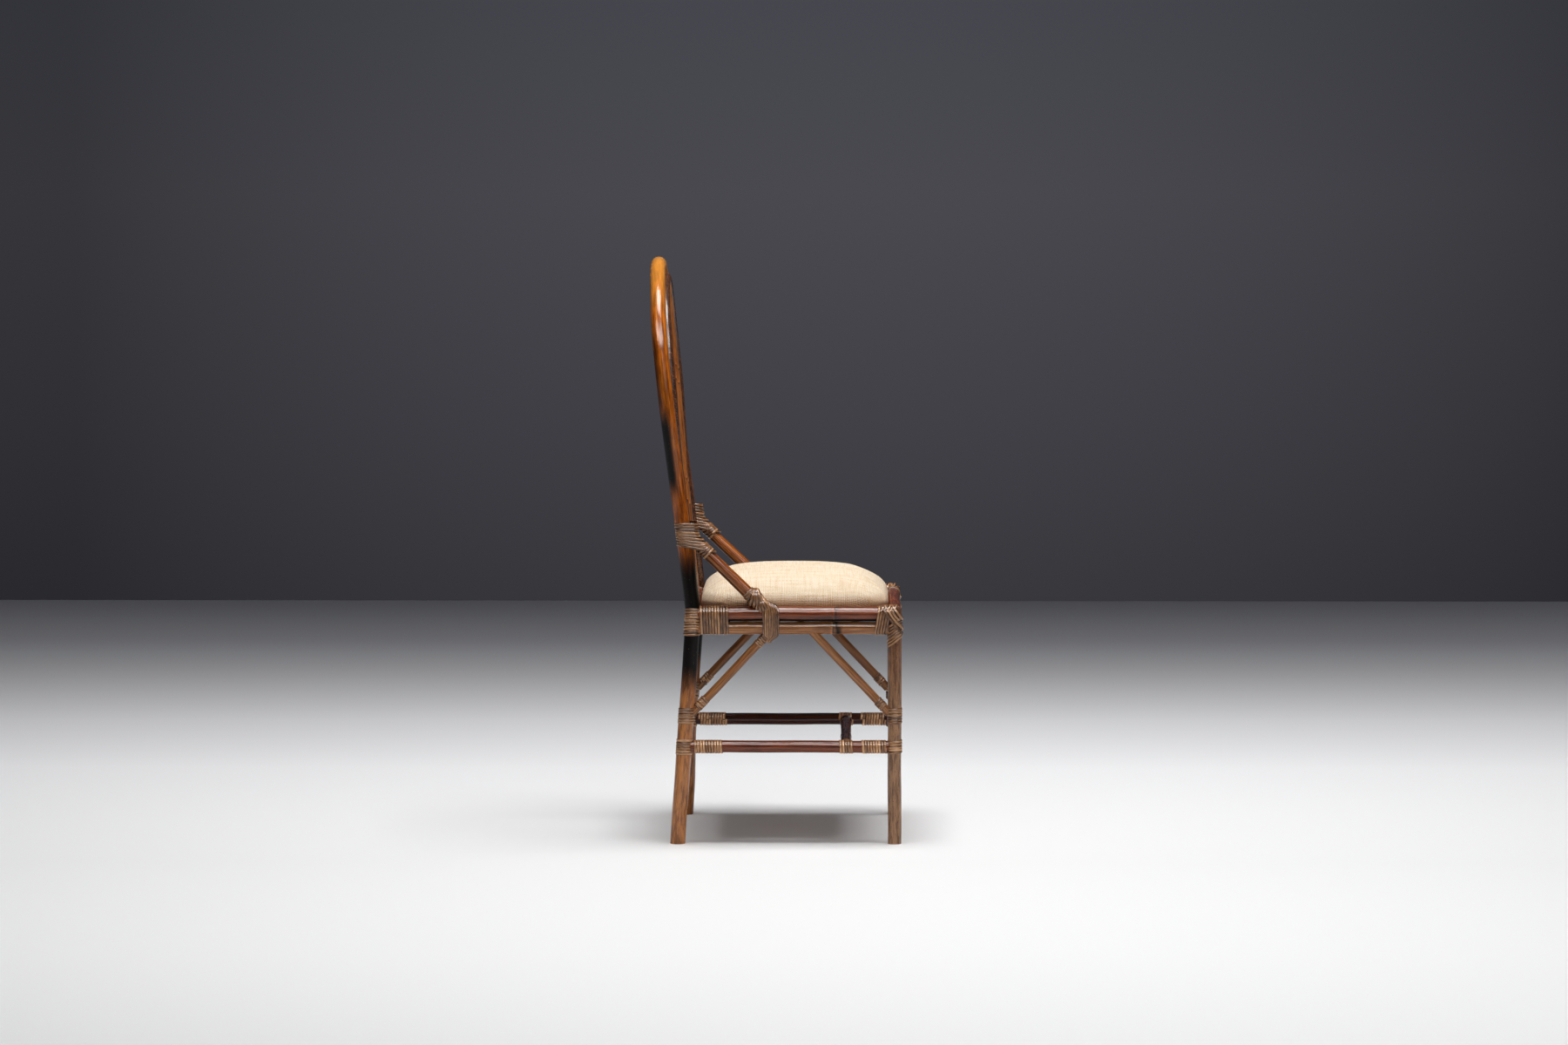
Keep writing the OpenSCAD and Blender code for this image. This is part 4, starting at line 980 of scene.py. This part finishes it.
# Peeled plywood, unvarnished bamboo and beech: matt, and pale with fine grain lines.
PLYWOOD = plain_wood("bare_plywood", "#a98558", "#c9a677", 0.7)
POLE_WOOD = plain_wood("seat_pole_bamboo", "#8a6238", "#b58a58", 0.45)
BEECH = plain_wood("beech_dowel", "#b08a5c", "#c8a274", 0.6)
# Zinc-plated steel: a grey metal, clouded by its plating.
zinc, add = new_finish("zinc_plated_steel")
place = add("TexCoord", out="Object")
spots = add("TexNoise", {"Vector": place, "Scale": 900.0, "Detail": 2.0})
rough = add("MapRange", {"Value": spots, "To Min": 0.25, "To Max": 0.45})
shader = add("BsdfPrincipled", {"Base Color": "#b9bcc0", "Metallic": 1.0, "Roughness": rough})
add("OutputMaterial", {"Surface": shader})
for name, finish, slot in (
        ("seat_board", PLYWOOD, "plywood"), ("frame_dowels", BEECH, "dowel_wood"),
        ("seat_screws", zinc, "screw_steel"), ("seat_pole_1", POLE_WOOD, "bamboo_tan"),
        ("seat_pole_2", POLE_WOOD, "bamboo_tan"), ("seat_pole_3", POLE_WOOD, "bamboo_tan")):
    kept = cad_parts[name]
    kept.data.materials.clear()
    kept.data.materials.append(finish)

# ---- The studio ---------------------------------------------------------------------------------
# A pale floor, painted darker with distance as a fall-off of light until it meets a grey wall,
# which the world paints with a soft box that shows only in gloss. Two soft lamps hang overhead and
# a weak one stands in front.
FLOOR_NEAR, FLOOR_END = -2.43, 4.13  # metres along the view from the chair
LAMP_X, LAMP_Z, LAMP_W, LAMP_D, LAMP_WATTS = -0.28, 4.2, 1.6, 1.1, 102
floor_finish, add = new_finish("pale_floor")
depth = add("SeparateXYZ", {0: add("TexCoord", out="Object")})
share = add("MapRange", {"Value": depth, "From Min": -2.4, "From Max": FLOOR_END})
# The floor's colour is painted light: bright near the chair, greyer toward the wall, with small
# dips and rises that copy the light across it.
colour = add("ValToRGB", {"Fac": share}, [
    (0.0, "#f2f2f2"), (0.14, "#efefef"), (0.30, "#e8e8e8"), (0.50, "#efeff0"), (0.62, "#dddddf"),
    (0.77, "#a6a6a9"), (0.86, "#7c7c80"), (1.0, "#46464b")])
shader = add("BsdfPrincipled", {"Base Color": colour, "Roughness": 0.6})
add("OutputMaterial", {"Surface": shader})
bm = bmesh.new()
bmesh.ops.create_grid(bm, x_segments=1, y_segments=1, size=1)
bmesh.ops.scale(bm, vec=((FLOOR_END - FLOOR_NEAR) / 2, 9, 1), verts=bm.verts)
bmesh.ops.translate(bm, vec=((FLOOR_END + FLOOR_NEAR) / 2, 0, 0), verts=bm.verts)
floor = placed("floor", made_mesh(bm, "floor"))
floor.data.materials.append(floor_finish)

world = bpy.data.worlds.new("studio")
scene.world = world
world.use_nodes = True
add = node_adder(world.node_tree)
camera_ray, glossy_ray, clear_ray = add(
    "LightPath", out=("Is Camera Ray", "Is Glossy Ray", "Is Transmission Ray"))
seen = add("Math", {0: camera_ray, 1: glossy_ray}, operation="MAXIMUM")
seen = add("Math", {0: seen, 1: clear_ray}, operation="MAXIMUM")
fill = add("Background", {"Color": "#d8dade", "Strength": 0.12})
away, aside, up = add("SeparateXYZ", {0: add("TexCoord", out="Generated")}, out=(0, 1, 2))
height = add("MapRange", {"Value": up, "From Min": -0.105, "From Max": 0.0})
shade = add("ValToRGB", {"Fac": height}, [
    (0.0, "#39383d"), (0.30, "#424147"), (0.65, "#49494f"), (1.0, "#46474e")])
aside = add("Math", {0: aside, 1: aside}, operation="MULTIPLY")
dimmer = add("MapRange", {"Value": aside, "From Max": 0.016, "To Min": 1.0, "To Max": 0.55})
wall = add("Background", {"Color": shade, "Strength": dimmer})
rise = add("ValToRGB", {"Fac": up}, [(0.60, 0), (0.66, 1), (0.82, 0.6), (0.9, 0)])
toward = add("MapRange", {"Value": away, "From Min": -0.25, "From Max": -0.40})
in_box = add("Math", {0: rise, 1: toward}, operation="MULTIPLY")
soft_box = add("Background", {"Color": "#ffffff", "Strength": 16.0})
wall = add("MixShader", {0: in_box, 1: wall, 2: soft_box})
both = add("MixShader", {0: seen, 1: fill, 2: wall})
add("OutputWorld", {"Surface": both})


def soft_light(name, place, target, width, depth, watts):
    """A rectangular soft box that faces the target."""
    light = bpy.data.lights.new(name, "AREA")
    light.shape = "RECTANGLE"
    light.size, light.size_y, light.energy = width, depth, watts
    lamp = placed(name, light)
    lamp.location = place
    lamp.rotation_euler = (Vector(target) - Vector(place)).to_track_quat("-Z", "Y").to_euler()


for name, y in (("overhead_front", -0.86), ("overhead_rear", 0.26)):
    soft_light(name, (LAMP_X, y, LAMP_Z), (LAMP_X, y, 0), LAMP_W, LAMP_D, LAMP_WATTS)
soft_light("front_fill", (-4.4, -1.9, 2.2), (0, 0, 0.5), 3.0, 3.2, 38)

camera = placed("camera", bpy.data.cameras.new("camera"))
camera.data.sensor_width = 36
camera.data.lens = 138.6
camera.location = (-11.296, -0.13, 1.615)
aim = Vector((1, 0.0101, -math.tan(math.radians(5.234))))  # down, and a hair to the rear
camera.rotation_euler = aim.to_track_quat("-Z", "Y").to_euler()
camera.data.clip_end = 100
bpy.context.scene.camera = camera
scene.view_settings.view_transform = "Standard"
